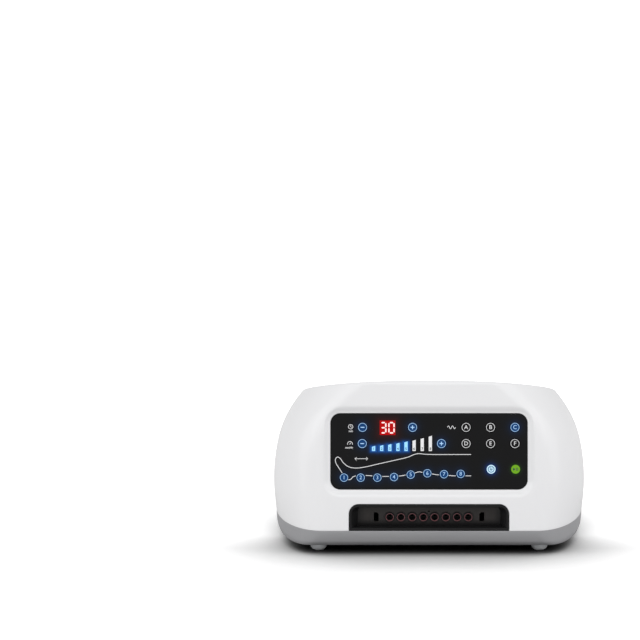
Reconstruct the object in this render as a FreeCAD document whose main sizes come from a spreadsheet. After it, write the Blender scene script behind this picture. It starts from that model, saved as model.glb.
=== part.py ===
import FreeCAD, Part
import math
import os
import re

import Sketcher

# Console of an eight-chamber compression therapy pump, in millimetres.
# +Z is up, +X is the user's right, the sloping panel looks towards -Y.
# The origin is at the centre of the footprint, on the table that the rubber feet stand on.

V = FreeCAD.Vector
doc = FreeCAD.newDocument("compression_pump")
sizes = doc.addObject("Spreadsheet::Sheet", "Sizes")
nodes = {}


# ---------------------------------------------------------------- sizes

STATIONS = ("skirt", "belly", "chest", "shoulder", "brow", "crown")
SIZES = {
    # Housing
    "depth": 200,  # front split line to back
    "split": 25,  # height of the line between cover and base
    "tilt": 14,  # lean of the front face, degrees
    "wall": 2.8,  # moulded wall of the cover
    "widest": 105,  # widest place of the plan, ahead of the back
    "roof_peak": 170,  # height of the roof line over its set-back
    "roof_setback": 40,  # how far the roof line's height is read behind the front
    "roof_slope": 15.5,  # fall of the roof to the back, degrees
    "roof_radius": 1240,  # arch of the roof from side to side
    "roof_edge": 5,  # rounding between roof and sides
    "past": 1,  # overlap of joined forms, and how far a cutting tool passes a face
    "beyond": 20,  # reach of a large cutting tool outside the housing
    "bow_least": 8,  # least half width of the rounded side of an outline
    # Plan outline of the cover at six stations: rise over the split line, half width,
    # distance in from the back, half length of the straight front
    "skirt_rise": 0,  # first station, on the split line
    "skirt_half": 153,  # half width at the skirt
    "skirt_in": 0.4,  # skirt, in from the back
    "skirt_flat": 107,  # straight front at the skirt
    "belly_rise": 25,  # second station
    "belly_half": 155.5,  # half width at the belly
    "belly_in": 0,  # belly, in from the back
    "belly_flat": 107,  # straight front at the belly
    "chest_rise": 55,  # third station
    "chest_half": 154,  # half width at the chest
    "chest_in": 1.5,  # chest, in from the back
    "chest_flat": 107,  # straight front at the chest
    "shoulder_rise": 87,  # fourth station
    "shoulder_half": 146,  # half width at the shoulder
    "shoulder_in": 11,  # shoulder, in from the back
    "shoulder_flat": 104,  # straight front at the shoulder
    "brow_rise": 115,  # fifth station
    "brow_half": 129,  # half width at the brow
    "brow_in": 32,  # brow, in from the back
    "brow_flat": 92,  # straight front at the brow
    "crown_rise": 151,  # sixth station, above the roof
    "crown_half": 98,  # half width at the crown
    "crown_in": 74,  # crown, in from the back
    "crown_flat": 50,  # straight front at the crown
    # Base tray and feet
    "tray_floor": 3,  # floor of the tray
    "tray_wall": 2.6,  # wall of the tray
    "bilge_rise": 5.8,  # height of the tray's rounded lower edge over its bottom
    "bilge_inset": 2.2,  # front and back of the tray moved in at the top of its lower edge
    "bilge_side": 0.8,  # sides moved in there
    "bilge_flat": 112,  # straight front there
    "keel_inset": 9,  # front and back of the tray moved in at its flat bottom
    "keel_side": 3.2,  # sides moved in there
    "keel_flat": 119,  # straight front there
    "lip_height": 3,  # locating lip over the split line
    "lip_wall": 1.8,  # thickness of the locating lip
    "lip_clear": 1,  # gap between the lip's ends and the bay's flange
    "rib_thick": 2,  # ribs of the tray under the port bay
    "rib_pitch": 28,  # pitch of those ribs
    "fit_gap": 0.25,  # clearance between moulded pieces
    "foot_height": 8.2,  # rubber foot, table to tray
    "foot_radius": 8.4,  # rubber foot
    "foot_sole": 5.6,  # flat sole of a foot
    "foot_seat": 3.6,  # seat of the screw's head in a foot
    "foot_round": 1.2,  # rounded edge of a foot's sole
    "foot_belt": 3.7,  # height of a foot's widest place
    "foot_boss": 10,  # bosses over the feet, height over the tray's underside
    "boss_cap": 2,  # closed end over a foot's pilot hole
    "foot_front_x": 110.3,  # front feet from the middle
    "foot_front_y": 25,  # front feet behind the front
    "foot_back_x": 105,  # back feet from the middle
    "foot_back_y": 35,  # back feet ahead of the back
    # Screws
    "screw_shank": 1.45,  # radius of a screw's thread
    "screw_pilot": 1.5,  # radius of a screw's pilot hole
    "screw_pass": 1.7,  # radius of a screw's clearance hole
    "screw_head": 2.8,  # radius of a screw's head
    "head_height": 1.9,  # height of a screw's head
    "head_well": 3.3,  # radius of the well that a head sinks in
    "well_depth": 7,  # wells of the case screws, into the tray
    "case_thread": 12,  # case screw in the cover's boss
    "pilot_depth": 13,  # pilot hole in the cover's boss
    "foot_thread": 7.3,  # foot screw in the tray's boss
    "boss_radius": 4.6,  # screw bosses
    "boss_seat": 5,  # where cover and base bosses meet, over the split line
    "boss_front_x": 125,  # front case bosses from the middle
    "boss_front_y": 50,  # front case bosses behind the front
    "boss_back_x": 118,  # back case bosses from the middle
    "boss_back_y": 40,  # back case bosses ahead of the back
    # Panel on the front face, measured up the slope from the split line
    "panel_up": 79.4,  # centre of the lens up the slope
    "lens_length": 196.6,  # lens, side to side
    "lens_height": 76,  # lens, up the slope
    "lens_corner": 9.7,  # corner radius of the lens
    "lens_thick": 2,  # lens
    "lens_depth": 3.6,  # lens face behind the front face
    "recess_depth": 4,  # floor of the recess behind the front face
    "recess_side": 7,  # width of the recess's sloping sides, left and right
    "recess_slope": 6,  # width of the recess's sloping sides, over and under the lens
    "recess_round": 3.5,  # growth of the corner radius up those sides
    "recess_gap": 0.5,  # floor of the recess that shows round the lens
    "frame_ledge": 4.3,  # ledge that carries the lens
    "frame_thick": 2.8,  # plastic behind the lens ledge
    "frame_margin": 4.8,  # thick frame outside the recess
    # Keys
    "key_radius": 5.2,  # cap of a panel key
    "site_radius": 4.6,  # cap of a chamber key
    "key_gap": 0.2,  # gap round a cap
    "key_proud": 0.5,  # cap over the lens
    "key_round": 0.4,  # bevel of a cap
    "key_flange": 1,  # flange that keeps a cap behind the lens
    "flange_thick": 0.9,  # thickness of that flange
    "flange_gap": 0.1,  # flange behind the lens
    "stem_radius": 1.6,  # stem of a key
    "key_travel": 0.5,  # stroke of a key
    "key_free": 0.1,  # gap left under a pressed key
    "stem_tail": 1.7,  # stem of a key behind its flange at full stroke
    "mode_in": 12.5,  # right column of mode keys, in from the lens's right edge
    "mode_pitch": 24.4,  # pitch of the mode columns
    "row_in": 14,  # upper row of keys under the lens's upper edge
    "row_pitch": 16.2,  # lower row of keys under the upper row
    "time_in": 32,  # time down key, in from the lens's left edge
    "time_span": 49.9,  # time up key from the time down key
    "pressure_in": 31.7,  # pressure down key, in from the lens's left edge
    "pressure_gap": 24.6,  # pressure up key, left of the mode columns
    "start_in": 11.9,  # start key, in from the lens's right edge
    "power_pitch": 24.4,  # power key, left of the start key
    "power_rise": 20.2,  # power and start keys over the lens's lower edge
    "site_in": 13.5,  # first chamber key, in from the lens's left edge
    "site_gap": 30.4,  # last chamber key, left of the power key
    "site_rise": 11.8,  # chamber keys over the lens's lower edge
    "site_calf": 3,  # lift of the chamber keys along the leg
    # Display and bars
    "display_drop": 0.4,  # centre of the time display under the upper row
    "display_length": 15.6,  # time display
    "display_height": 14.4,  # time display
    "display_corner": 1,  # corner radius of the time display
    "bar_margin": 11,  # first and last pressure bar from the keys beside them
    "bar_width": 4.4,  # pressure bar
    "bar_drop": 7.4,  # foot of the bars under the lower row
    "bar_first": 5.1,  # height of the first bar
    "bar_growth": 1.169,  # each bar over the one before
    "bar_slant": 1.1,  # rise of a bar's slanted top
    "light_gap": 0.3,  # lights behind the lens
    # Control board
    "switch_width": 6,  # tact switch
    "switch_height": 3.3,  # tact switch body
    "switch_button": 0.7,  # tact switch plunger over its body
    "switch_button_radius": 1.75,  # tact switch plunger
    "board_thick": 1.6,  # circuit boards
    "board_edge": 4.5,  # control board beyond its posts, left and right
    "board_brim": 4,  # control board beyond its posts, over and under
    "board_corner": 3,  # corner radius of the control board
    "post_beside": 4.2,  # control board posts beyond the lens's ends
    "post_over": 4.5,  # control board posts beyond the lens's upper and lower edges
    "board_post": 3.4,  # radius of a board post
    "stake_radius": 1.4,  # stake on the end of a post
    "stake_gap": 0.1,  # clearance of a stake in its board
    "stake_tail": 1,  # stake proud of its board
    # Port bay
    "bay_half": 79.8,  # bay insert, half length
    "bay_rise": 25.6,  # bay insert, height over the split line
    "bay_corner": 9.5,  # upper corners of the insert
    "bay_rim": 2.7,  # rim of the insert over, under and beside its hollow
    "bay_depth": 13,  # back wall of the bay behind the front
    "bay_wall": 4,  # thickness of the back wall
    "bay_splay": 6,  # inward slope of the bay's ends
    "bay_flange": 1.8,  # flange behind the cover's wall
    "bay_flange_thick": 1.6,  # thickness of that flange
    "port_pitch": 11.2,  # pitch of the air ports
    "port_rise": 11.3,  # air ports over the split line
    "port_radius": 4.9,  # outside of a port's socket
    "port_gap": 0.1,  # clearance of a port in the bay
    "port_bore": 3.3,  # bore that takes a hose plug
    "port_bore_length": 9,  # length of that bore
    "bore_floor": 1,  # wall between the bore and the hose barb
    "port_proud": 2,  # socket in front of the bay's back wall
    "port_collar": 5.4,  # collar behind the back wall
    "port_collar_thick": 1.4,  # thickness of the collar
    "port_shell": 1,  # wall of the socket behind its collar
    "seal_outer": 4.1,  # port seal
    "seal_inner": 3.4,  # port seal
    "seal_length": 1.4,  # port seal
    "seal_gap": 0.05,  # clearance round a seal
    "barb_radius": 2.6,  # hose barbs
    "barb_bore": 1.6,  # bore of the barbs
    "barb_length": 8,  # hose barbs
    "latch_x": 52.7,  # latch slots from the middle
    "latch_width": 4.9,  # latch slot
    "latch_height": 9.4,  # latch slot
    "latch_chamfer": 1.8,  # cut upper corner of a latch slot
    "drain_radius": 0.9,  # drain hole of the bay
    "drain_rise": 17,  # drain hole over the split line
    # Valve bank
    "tube_wall": 1.2,  # wall of the inner air tubes
    "tube_gap": 0.05,  # air tube round its barb
    "tube_end": 0.3,  # gap between a tube's end and the wall behind its barb
    "supply_bend": 14,  # bend of the tube from the pump to the manifold
    "manifold_y": 40,  # front of the manifold behind the front
    "manifold_depth": 12,  # manifold, front to back
    "manifold_under": 8.3,  # manifold below the ports
    "manifold_over": 8.7,  # manifold above the ports
    "manifold_end": 6,  # manifold beyond its end ports
    "stand_half": 6,  # half width of the manifold's stands
    "stand_from": 33.6,  # manifold's stands from the middle
    "coil_width": 10,  # valve coil
    "coil_depth": 24,  # valve coil, front to back
    "coil_margin": 0.8,  # manifold above and below a coil
    "plunger_radius": 2.5,  # valve plunger
    "plunger_gap": 0.08,  # plunger in its coil
    "plunger_length": 20,  # valve plunger
    "plunger_travel": 1.2,  # stroke of a valve plunger
    "plunger_free": 0.2,  # gap left between a plunger and its seat
    # Linear air pump
    "pump_x": -46,  # middle of the pump
    "pump_y": 138,  # middle of the pump behind the front
    "pump_half": 47,  # half length of the pump's frame
    "pump_width": 56,  # frame, front to back
    "pump_height": 48,  # frame
    "pump_plate": 4,  # end plates of the frame
    "pump_deck": 3,  # floor plate of the frame
    "isolator_height": 7,  # rubber mounts under the pump
    "isolator_radius": 5.5,  # rubber mounts under the pump
    "isolator_x": 36,  # rubber mounts from the pump's middle
    "isolator_y": 20,  # rubber mounts from the pump's middle
    "port_eye": 15,  # opening of an end plate
    "head_radius": 21,  # pump head
    "head_length": 14,  # pump head
    "head_cap": 3,  # outer wall of a pump head
    "rubber_inset": 1,  # edge of a diaphragm inside its head
    "rubber": 1.6,  # pump diaphragm
    "disc_radius": 9,  # disc that clamps a diaphragm
    "disc_thick": 2,  # thickness of that disc
    "rod_radius": 3,  # rod of the armature
    "armature_half": 26,  # half length of the armature bar
    "armature_width": 9,  # armature bar, front to back
    "armature_height": 22,  # armature bar
    "magnet_gap": 1,  # air gap between armature and cores
    "core_half": 24,  # half length of a core
    "core_depth": 15,  # core, front to back
    "core_height": 22,  # stack height of a core
    "core_back": 5,  # back of an E core
    "core_leg": 4,  # half width of a core's middle leg, and width of its end legs
    "coil_recess": 0.6,  # pump coil behind the core's faces
    "coil_skin": 0.4,  # clearance of a pump coil round its leg
    "coil_over": 6,  # pump coil above and below its core
    # Mains side
    "pad_depth": 2,  # flat for the mains fittings, in from the back
    "pad_left": 27,  # flat for the mains fittings, left edge
    "pad_right": 101,  # flat for the mains fittings, right edge
    "pad_low": 10,  # flat for the mains fittings over the split line
    "pad_high": 44,  # flat for the mains fittings over the split line
    "pad_wall": 3.2,  # wall behind that flat
    "pad_margin": 3,  # that wall beyond the flat
    "mains_rise": 27,  # mains fittings over the split line
    "inlet_x": 78,  # mains inlet
    "inlet_flange_length": 31,  # mains inlet flange
    "inlet_flange_height": 24,  # mains inlet flange
    "flange_corner": 1.5,  # corner radius of that flange
    "inlet_length": 27,  # mains inlet body
    "inlet_height": 19.6,  # mains inlet body
    "inlet_depth": 24,  # mains inlet body
    "socket_length": 24.4,  # hollow of the inlet
    "socket_height": 16.4,  # hollow of the inlet
    "socket_depth": 17,  # hollow of the inlet
    "socket_chamfer": 4.6,  # cut upper corners of the inlet
    "pin_pitch": 7,  # outer pins from the middle pin
    "pin_width": 2,  # inlet pin
    "pin_height": 4,  # inlet pin
    "pin_length": 14,  # inlet pin in the hollow
    "pin_tail": 7,  # solder tag behind the inlet
    "pin_raise": 2,  # middle pin over the inlet's middle, outer pins under it
    "rocker_x": 43,  # mains switch
    "bezel_width": 15,  # mains switch bezel
    "bezel_height": 22,  # mains switch bezel
    "bezel_thick": 1.2,  # mains switch bezel
    "bezel_lap": 1,  # bezel over the edge of its opening
    "switch_depth": 15,  # mains switch body
    "rocker_width": 9.6,  # mains rocker
    "rocker_half": 7.8,  # half height of the mains rocker
    "rocker_angle": 7,  # rocker each way, degrees
    "rocker_pivot": 3.8,  # rocker pivot behind the mains flat
    "rocker_rise": 4.6,  # rocker's edge over its pivot
    "rocker_dip": 1.4,  # hollow of the rocker's face
    "rocker_gap": 0.6,  # gap round the rocker
    "rocker_pin": 1.2,  # rocker pivot pin
    "pin_gap": 0.05,  # clearance of that pin
    "pin_inset": 1.5,  # end of that pin inside the bezel's edge
    "rocker_belly": 0.8,  # back of the rocker behind its pivot, over the face's dip
    "rocker_heel": 6.24,  # half height of the rocker's back
    "rocker_room": 3,  # room behind the rocker
    "vent_left": -95,  # first vent slot
    "vent_count": 13,  # vent slots
    "vent_pitch": 6,  # pitch of the vent slots
    "vent_width": 2.6,  # vent slot
    "vent_low": 16,  # foot of the vent slots over the split line
    "vent_height": 34,  # vent slot
    "supply_x": 20,  # power board, left edge
    "supply_length": 88,  # power board
    "supply_y": 92,  # power board, front edge behind the front
    "supply_depth": 66,  # power board, front to back
    "supply_post": 6,  # posts under the power board
    "supply_inset": 5,  # those posts inside the board's edges
    "transformer_length": 42,  # transformer
    "transformer_depth": 36,  # transformer
    "transformer_height": 34,  # transformer
    "iron_depth": 18,  # iron of the transformer, front to back
    "bobbin_length": 28,  # bobbin of the transformer
    "bobbin_inset": 3,  # bobbin inside the iron, over and under
    "transformer_shift": 8,  # transformer to the right of the board's middle
    "capacitor_radius": 8,  # capacitor
    "capacitor_height": 28,  # capacitor
    "capacitor_gap": 1,  # each capacitor from the board's middle line
    "capacitor_edge": 3,  # capacitors from the board's left edge
}
for row, (name, number) in enumerate(SIZES.items(), 1):
    sizes.set(f"A{row}", name.replace("_", " "))
    sizes.set(f"B{row}", str(number))
    sizes.setAlias(f"B{row}", name)
doc.recompute()


# ---------------------------------------------------------------- drawing helpers

def expression(text):
    """Point each size that is named in text at its cell of the sheet."""
    def cell(found):
        word = found.group(0)
        return "Sizes." + word if word in SIZES else word
    return re.sub(r"[a-z_]+", cell, text)


def value(text):
    return float(sizes.evalExpression(expression(text)))


def bind(obj, prop, text):
    obj.setExpression(prop, expression(text))


def place(obj, x="0", y="0", z="0"):
    bind(obj, "Placement.Base.x", x)
    bind(obj, "Placement.Base.y", y)
    bind(obj, "Placement.Base.z", z)


def on_face(obj, x="0", up="0", out="0"):
    """Place obj in the leaning frame of the front face: x, up the slope, out of the face."""
    obj.Placement = FreeCAD.Placement(V(), FreeCAD.Rotation(V(1, 0, 0), 90 - value("tilt")))
    bind(obj, "Placement.Rotation.Angle", "90 - tilt")
    place(obj, x, f"{FRONT} + ({up})*sin(tilt) - ({out})*cos(tilt)",
          f"split + ({up})*cos(tilt) + ({out})*sin(tilt)")


def node(obj, name):
    """Name a finished sub-part; its shape goes to a file of that name."""
    obj.Label = name
    nodes[name] = obj
    return obj


def body(name):
    made = doc.addObject("PartDesign::Body", name)
    made.AllowCompound = True
    return made


def sketch(owner, role, name, offset="0"):
    """Start a sketch on an origin plane of a body, moved along the plane's normal."""
    drawn = owner.newObject("Sketcher::SketchObject", name)
    origin = [f for f in owner.Origin.OriginFeatures if f.Role == role][0]
    drawn.AttachmentSupport = (origin, [""])
    drawn.MapMode = "FlatFace"
    bind(drawn, "AttachmentOffset.Base.z", offset)
    return drawn


def dimension(drawn, kind, *where):
    """Add a dimensional constraint; its last argument is the expression it follows."""
    index = drawn.addConstraint(Sketcher.Constraint(kind, *where[:-1], value(where[-1])))
    bind(drawn, f"Constraints[{index}]", where[-1])


def locate(drawn, geometry, point, x, y):
    dimension(drawn, "DistanceX", -1, 1, geometry, point, x)
    dimension(drawn, "DistanceY", -1, 1, geometry, point, y)


def circle(drawn, x, y, radius):
    ring = Part.Circle(V(value(x), value(y), 0), V(0, 0, 1), value(radius))
    index = drawn.addGeometry(ring)
    dimension(drawn, "Radius", index, radius)
    locate(drawn, index, 3, x, y)


def polygon(drawn, points):
    """Closed polygon through pairs of expressions."""
    corners = [V(value(x), value(y), 0) for x, y in points]
    count = len(points)
    first = None
    for k in range(count):
        index = drawn.addGeometry(Part.LineSegment(corners[k], corners[(k + 1) % count]))
        first = index if first is None else first
    for k in range(count):
        drawn.addConstraint(Sketcher.Constraint("Coincident", first + k, 2, first + (k + 1) % count, 1))
        locate(drawn, first + k, 1, *points[k])


def rounded(drawn, half_x, half_y, radius):
    """Rectangle about the origin with four round corners."""
    x, y, r = value(half_x), value(half_y), value(radius)
    quarter = math.pi / 2
    line = Part.LineSegment
    sides = [drawn.addGeometry(line(V(r - x, -y, 0), V(x - r, -y, 0))),
             drawn.addGeometry(line(V(x, r - y, 0), V(x, y - r, 0))),
             drawn.addGeometry(line(V(x - r, y, 0), V(r - x, y, 0))),
             drawn.addGeometry(line(V(-x, y - r, 0), V(-x, r - y, 0)))]
    corners = []
    for k, (cx, cy) in enumerate(((x - r, r - y), (x - r, y - r), (r - x, y - r), (r - x, r - y))):
        arc = Part.ArcOfCircle(Part.Circle(V(cx, cy, 0), V(0, 0, 1), r), (k - 1) * quarter, k * quarter)
        corners.append(drawn.addGeometry(arc))
    for k in range(4):
        drawn.addConstraint(Sketcher.Constraint("Tangent", sides[k], 2, corners[k], 1))
        drawn.addConstraint(Sketcher.Constraint("Tangent", corners[k], 2, sides[(k + 1) % 4], 1))
        drawn.addConstraint(Sketcher.Constraint("Vertical" if k % 2 else "Horizontal", sides[k]))
    for k in range(1, 4):
        drawn.addConstraint(Sketcher.Constraint("Equal", corners[0], corners[k]))
    dimension(drawn, "Radius", corners[0], radius)
    dimension(drawn, "DistanceY", -1, 1, sides[0], 1, f"-({half_y})")
    dimension(drawn, "DistanceX", -1, 1, sides[1], 1, half_x)
    dimension(drawn, "DistanceY", -1, 1, sides[2], 1, half_y)
    dimension(drawn, "DistanceX", -1, 1, sides[3], 1, f"-({half_x})")


def arch(drawn, half, low, high, radius):
    """Upright rectangle about the middle whose two upper corners are round."""
    x, y0, y1, r = value(half), value(low), value(high), value(radius)
    quarter = math.pi / 2
    bottom = drawn.addGeometry(Part.LineSegment(V(-x, y0, 0), V(x, y0, 0)))
    right = drawn.addGeometry(Part.LineSegment(V(x, y0, 0), V(x, y1 - r, 0)))
    round_right = drawn.addGeometry(
        Part.ArcOfCircle(Part.Circle(V(x - r, y1 - r, 0), V(0, 0, 1), r), 0, quarter))
    top = drawn.addGeometry(Part.LineSegment(V(x - r, y1, 0), V(r - x, y1, 0)))
    round_left = drawn.addGeometry(
        Part.ArcOfCircle(Part.Circle(V(r - x, y1 - r, 0), V(0, 0, 1), r), quarter, 2 * quarter))
    left = drawn.addGeometry(Part.LineSegment(V(-x, y1 - r, 0), V(-x, y0, 0)))
    drawn.addConstraint(Sketcher.Constraint("Coincident", bottom, 2, right, 1))
    drawn.addConstraint(Sketcher.Constraint("Tangent", right, 2, round_right, 1))
    drawn.addConstraint(Sketcher.Constraint("Tangent", round_right, 2, top, 1))
    drawn.addConstraint(Sketcher.Constraint("Tangent", top, 2, round_left, 1))
    drawn.addConstraint(Sketcher.Constraint("Tangent", round_left, 2, left, 1))
    drawn.addConstraint(Sketcher.Constraint("Coincident", left, 2, bottom, 1))
    drawn.addConstraint(Sketcher.Constraint("Horizontal", top))
    drawn.addConstraint(Sketcher.Constraint("Vertical", right))
    drawn.addConstraint(Sketcher.Constraint("Vertical", left))
    drawn.addConstraint(Sketcher.Constraint("Equal", round_right, round_left))
    dimension(drawn, "Radius", round_right, radius)
    locate(drawn, bottom, 1, f"-({half})", low)
    locate(drawn, bottom, 2, half, low)
    dimension(drawn, "DistanceY", -1, 1, top, 1, high)


def pad(owner, drawn, length):
    made = owner.newObject("PartDesign::Pad", drawn.Name + "_pad")
    made.Profile = drawn
    bind(made, "Length", length)
    drawn.Visibility = False
    return made


def pocket(owner, drawn, depth):
    made = owner.newObject("PartDesign::Pocket", drawn.Name + "_pocket")
    made.Profile = drawn
    bind(made, "Length", depth)
    return made


def loft(owner, first, last):
    made = owner.newObject("PartDesign::AdditiveLoft", first.Name + "_loft")
    made.Profile = first
    made.Sections = [last]
    return made


def turned(name, points):
    """Body turned about its own Z axis from a profile of radius and height pairs."""
    owner = body(name)
    profile = sketch(owner, "XZ_Plane", name + "_profile")
    polygon(profile, points)
    made = owner.newObject("PartDesign::Revolution", name + "_turn")
    made.Profile = profile
    made.ReferenceAxis = (profile, ["V_Axis"])
    made.Angle = 360
    return owner


def in_row(owner, feature, pitch, count):
    """Repeat a feature of a body along X."""
    made = owner.newObject("PartDesign::LinearPattern", feature.Name + "_row")
    made.Originals = [feature]
    made.Direction = ([f for f in owner.Origin.OriginFeatures if f.Role == "X_Axis"][0], [""])
    bind(made, "Length", f"({pitch})*(({count}) - 1)")
    bind(made, "Occurrences", count)
    owner.Tip = made
    return made


def box(name, x, y, z):
    """Box between pairs of expressions."""
    made = doc.addObject("Part::Box", name)
    bind(made, "Length", f"({x[1]}) - ({x[0]})")
    bind(made, "Width", f"({y[1]}) - ({y[0]})")
    bind(made, "Height", f"({z[1]}) - ({z[0]})")
    place(made, x[0], y[0], z[0])
    return made


def face_box(name, x, up, out):
    """Box in the leaning frame of the front face."""
    made = box(name, x, up, out)
    on_face(made, x[0], up[0], out[0])
    return made


def cylinder(name, radius, length, x, y, z, axis="Z"):
    """Cylinder from a point along +X, +Y or +Z."""
    made = doc.addObject("Part::Cylinder", name)
    bind(made, "Radius", radius)
    bind(made, "Height", length)
    turn = {"X": FreeCAD.Rotation(V(0, 1, 0), 90),
            "Y": FreeCAD.Rotation(V(1, 0, 0), -90),
            "Z": FreeCAD.Rotation()}[axis]
    made.Placement = FreeCAD.Placement(V(), turn)
    place(made, x, y, z)
    return made


def face_cylinder(name, radius, x, up, out):
    """Cylinder along the front face's normal, between two distances out of the face."""
    made = cylinder(name, radius, f"({out[1]}) - ({out[0]})", "0", "0", "0")
    on_face(made, x, up, out[0])
    return made


def fuse(name, pieces):
    made = doc.addObject("Part::MultiFuse", name)
    made.Shapes = pieces
    return made


def common(name, base, tool):
    made = doc.addObject("Part::Common", name)
    made.Base = base
    made.Tool = tool
    return made


def cut(name, base, tools):
    made = doc.addObject("Part::Cut", name)
    made.Base = base
    made.Tool = tools[0] if len(tools) == 1 else fuse(name + "_tools", tools)
    return made


def together(name, pieces):
    made = doc.addObject("Part::Compound", name)
    made.Links = pieces
    return made


def solid(name, shape):
    """A free-form solid; its sizes are read from the sheet by its own function."""
    made = doc.addObject("Part::Feature", name)
    made.Shape = shape
    return made


# Places that several pieces share
FRONT = "-depth/2"
BACK = "depth/2"
FLOOR = "(foot_height + tray_floor)"
PAD_PLANE = "(depth/2 - pad_depth)"
MAINS = "(split + mains_rise)"
PORTS = "(split + port_rise)"
LENS_BACK = "(0 - lens_depth - lens_thick)"
FRAME_BACK = f"({LENS_BACK} - frame_thick)"
STEM_END = f"({LENS_BACK} - flange_gap - flange_thick - key_travel - stem_tail)"
SWITCH_TOP = f"({STEM_END} - key_travel - key_free)"
BOARD_FRONT = f"({SWITCH_TOP} - switch_button - switch_height)"
BAY_BACK = "(0 - depth/2 + bay_depth + bay_wall)"
PORT_FRONT = "(0 - depth/2 + bay_depth - port_proud)"
CASE_BOSSES = [(side + "boss_front_x", f"{FRONT} + boss_front_y") for side in ("-", "")]
CASE_BOSSES += [(side + "boss_back_x", f"{BACK} - boss_back_y") for side in ("-", "")]
FEET = [(side + "foot_front_x", f"{FRONT} + foot_front_y") for side in ("-", "")]
FEET += [(side + "foot_back_x", f"{BACK} - foot_back_y") for side in ("-", "")]
ROW_HIGH = "(lens_height/2 - row_in)"
ROW_LOW = f"({ROW_HIGH} - row_pitch)"
POWER_ROW = "(power_rise - lens_height/2)"
TIME_X = "(time_in - lens_length/2)"
PRESSURE_X = "(pressure_in - lens_length/2)"
START_X = "(lens_length/2 - start_in)"
POWER_X = f"({START_X} - power_pitch)"
MODE_X = "(lens_length/2 - mode_in - 2*mode_pitch)"
PRESSURE_UP_X = f"({MODE_X} - pressure_gap)"
POST_X = "(lens_length/2 + post_beside)"
POST_S = "(lens_height/2 + post_over)"
BLOCK_X = "(bezel_width/2 - bezel_lap)"
BLOCK_Z = "(bezel_height/2 - bezel_lap)"
PORT_COUNT = 8
FIRST_PORT = f"(0 - port_pitch*({PORT_COUNT} - 1)/2)"


# ---------------------------------------------------------------- housing outline

def outline(z, front, back, half, flat):
    """Plan outline at one height: straight front and back, elliptical sides."""
    flat = min(flat, half - value("bow_least"))
    middle = value(f"{BACK} - widest")
    pull = 4 / 3 * (math.sqrt(2) - 1)  # a Bezier curve's handles for a quarter circle

    def quarter(side, end):
        """Quarter ellipse from the end of a straight to the widest place of a side."""
        start = V(side * flat, end, z)
        stop = V(side * half, middle, z)
        curve = Part.BezierCurve()
        curve.setPoles([start, start + V(side * (half - flat) * pull, 0, 0),
                        stop + V(0, (end - middle) * pull, 0), stop])
        return curve

    edges = [Part.LineSegment(V(-flat, front, z), V(flat, front, z)), quarter(1, front), quarter(1, back),
             Part.LineSegment(V(flat, back, z), V(-flat, back, z)), quarter(-1, back), quarter(-1, front)]
    return Part.Wire(Part.__sortEdges__([edge.toShape() for edge in edges]))


def cover_outline(station, inset):
    """Outline of the cover at a station, moved in by a wall."""
    rise = value(f"{station}_rise")
    lean = math.radians(value("tilt"))
    front = value(FRONT) + rise * math.tan(lean) + inset / math.cos(lean)
    return outline(value("split") + rise, front, value(f"{BACK} - {station}_in") - inset,
                   value(f"{station}_half") - inset, value(f"{station}_flat"))


def above_roof(drop):
    """Everything over the arched roof that falls to the back, lowered by drop."""
    slope = math.radians(value("roof_slope"))
    reach = value("belly_half + beyond")
    ahead = value("roof_setback + beyond")
    y = value(f"{FRONT} - beyond")
    z = value("roof_peak") + ahead * math.tan(slope) - drop
    radius = value("roof_radius")
    sag = radius - math.sqrt(radius ** 2 - reach ** 2)
    lid = z + value("roof_peak")
    arc = Part.Arc(V(-reach, y, z - sag), V(0, y, z), V(reach, y, z - sag))
    rest = Part.makePolygon([V(reach, y, z - sag), V(reach, y, lid), V(-reach, y, lid), V(-reach, y, z - sag)])
    wire = Part.Wire(Part.__sortEdges__([arc.toShape()] + rest.Edges))
    run = value("depth + 2*beyond") + ahead
    return Part.Face(wire).extrude(V(0, run * math.cos(slope), -run * math.sin(slope)))


def cover_outside():
    """Outer form of the cover, with its rounded roof edge."""
    block = Part.makeLoft([cover_outline(station, 0) for station in STATIONS], True, False)
    block = block.cut(above_roof(0))
    roof = max(block.Faces, key=lambda face: face.CenterOfMass.z)
    return block.makeFillet(value("roof_edge"), roof.Edges)


def cover_inside():
    """Hollow of the cover: the same form, a wall smaller."""
    wall = value("wall")
    block = Part.makeLoft([cover_outline(station, wall) for station in STATIONS], True, True)
    return block.cut(above_roof(wall / math.cos(math.radians(value("roof_slope")))))


# Levels of the tray: its front and back moved in, its sides moved in, and its straight front
KEEL = ("keel_inset", "keel_side", "keel_flat")
BILGE = ("bilge_inset", "bilge_side", "bilge_flat")
SKIRT = ("0", "0", "skirt_flat")


def tray_outline(level, height, wall="0"):
    """Outline of the tray at a level, moved in by a wall."""
    inset, side, flat = level
    return outline(value(height), value(f"{FRONT} + {inset} + {wall}"),
                   value(f"{BACK} - skirt_in - {inset} - {wall}"),
                   value(f"skirt_half - {side} - {wall}"), value(flat))


def tray_outside():
    return Part.makeLoft([tray_outline(KEEL, "foot_height"),
                          tray_outline(BILGE, "foot_height + bilge_rise"),
                          tray_outline(SKIRT, "split")], True, False)


def tray_inside():
    return Part.makeLoft([tray_outline(KEEL, FLOOR, "tray_wall"),
                          tray_outline(BILGE, "foot_height + bilge_rise + tray_floor", "tray_wall"),
                          tray_outline(SKIRT, "split", "tray_wall")], True, True)


def lip_form(inset, low, high):
    """Block inside the lower edge of the housing that follows the lean of the cover's front."""
    lean = math.tan(math.radians(value("tilt")))
    wires = []
    for rise in (low, high):
        front = value(FRONT) + max(rise, 0) * lean + inset
        wires.append(outline(value("split") + rise, front, value(f"{BACK} - skirt_in") - inset,
                             value("skirt_half") - inset, value("skirt_flat")))
    return Part.makeLoft(wires, True, True)


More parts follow.
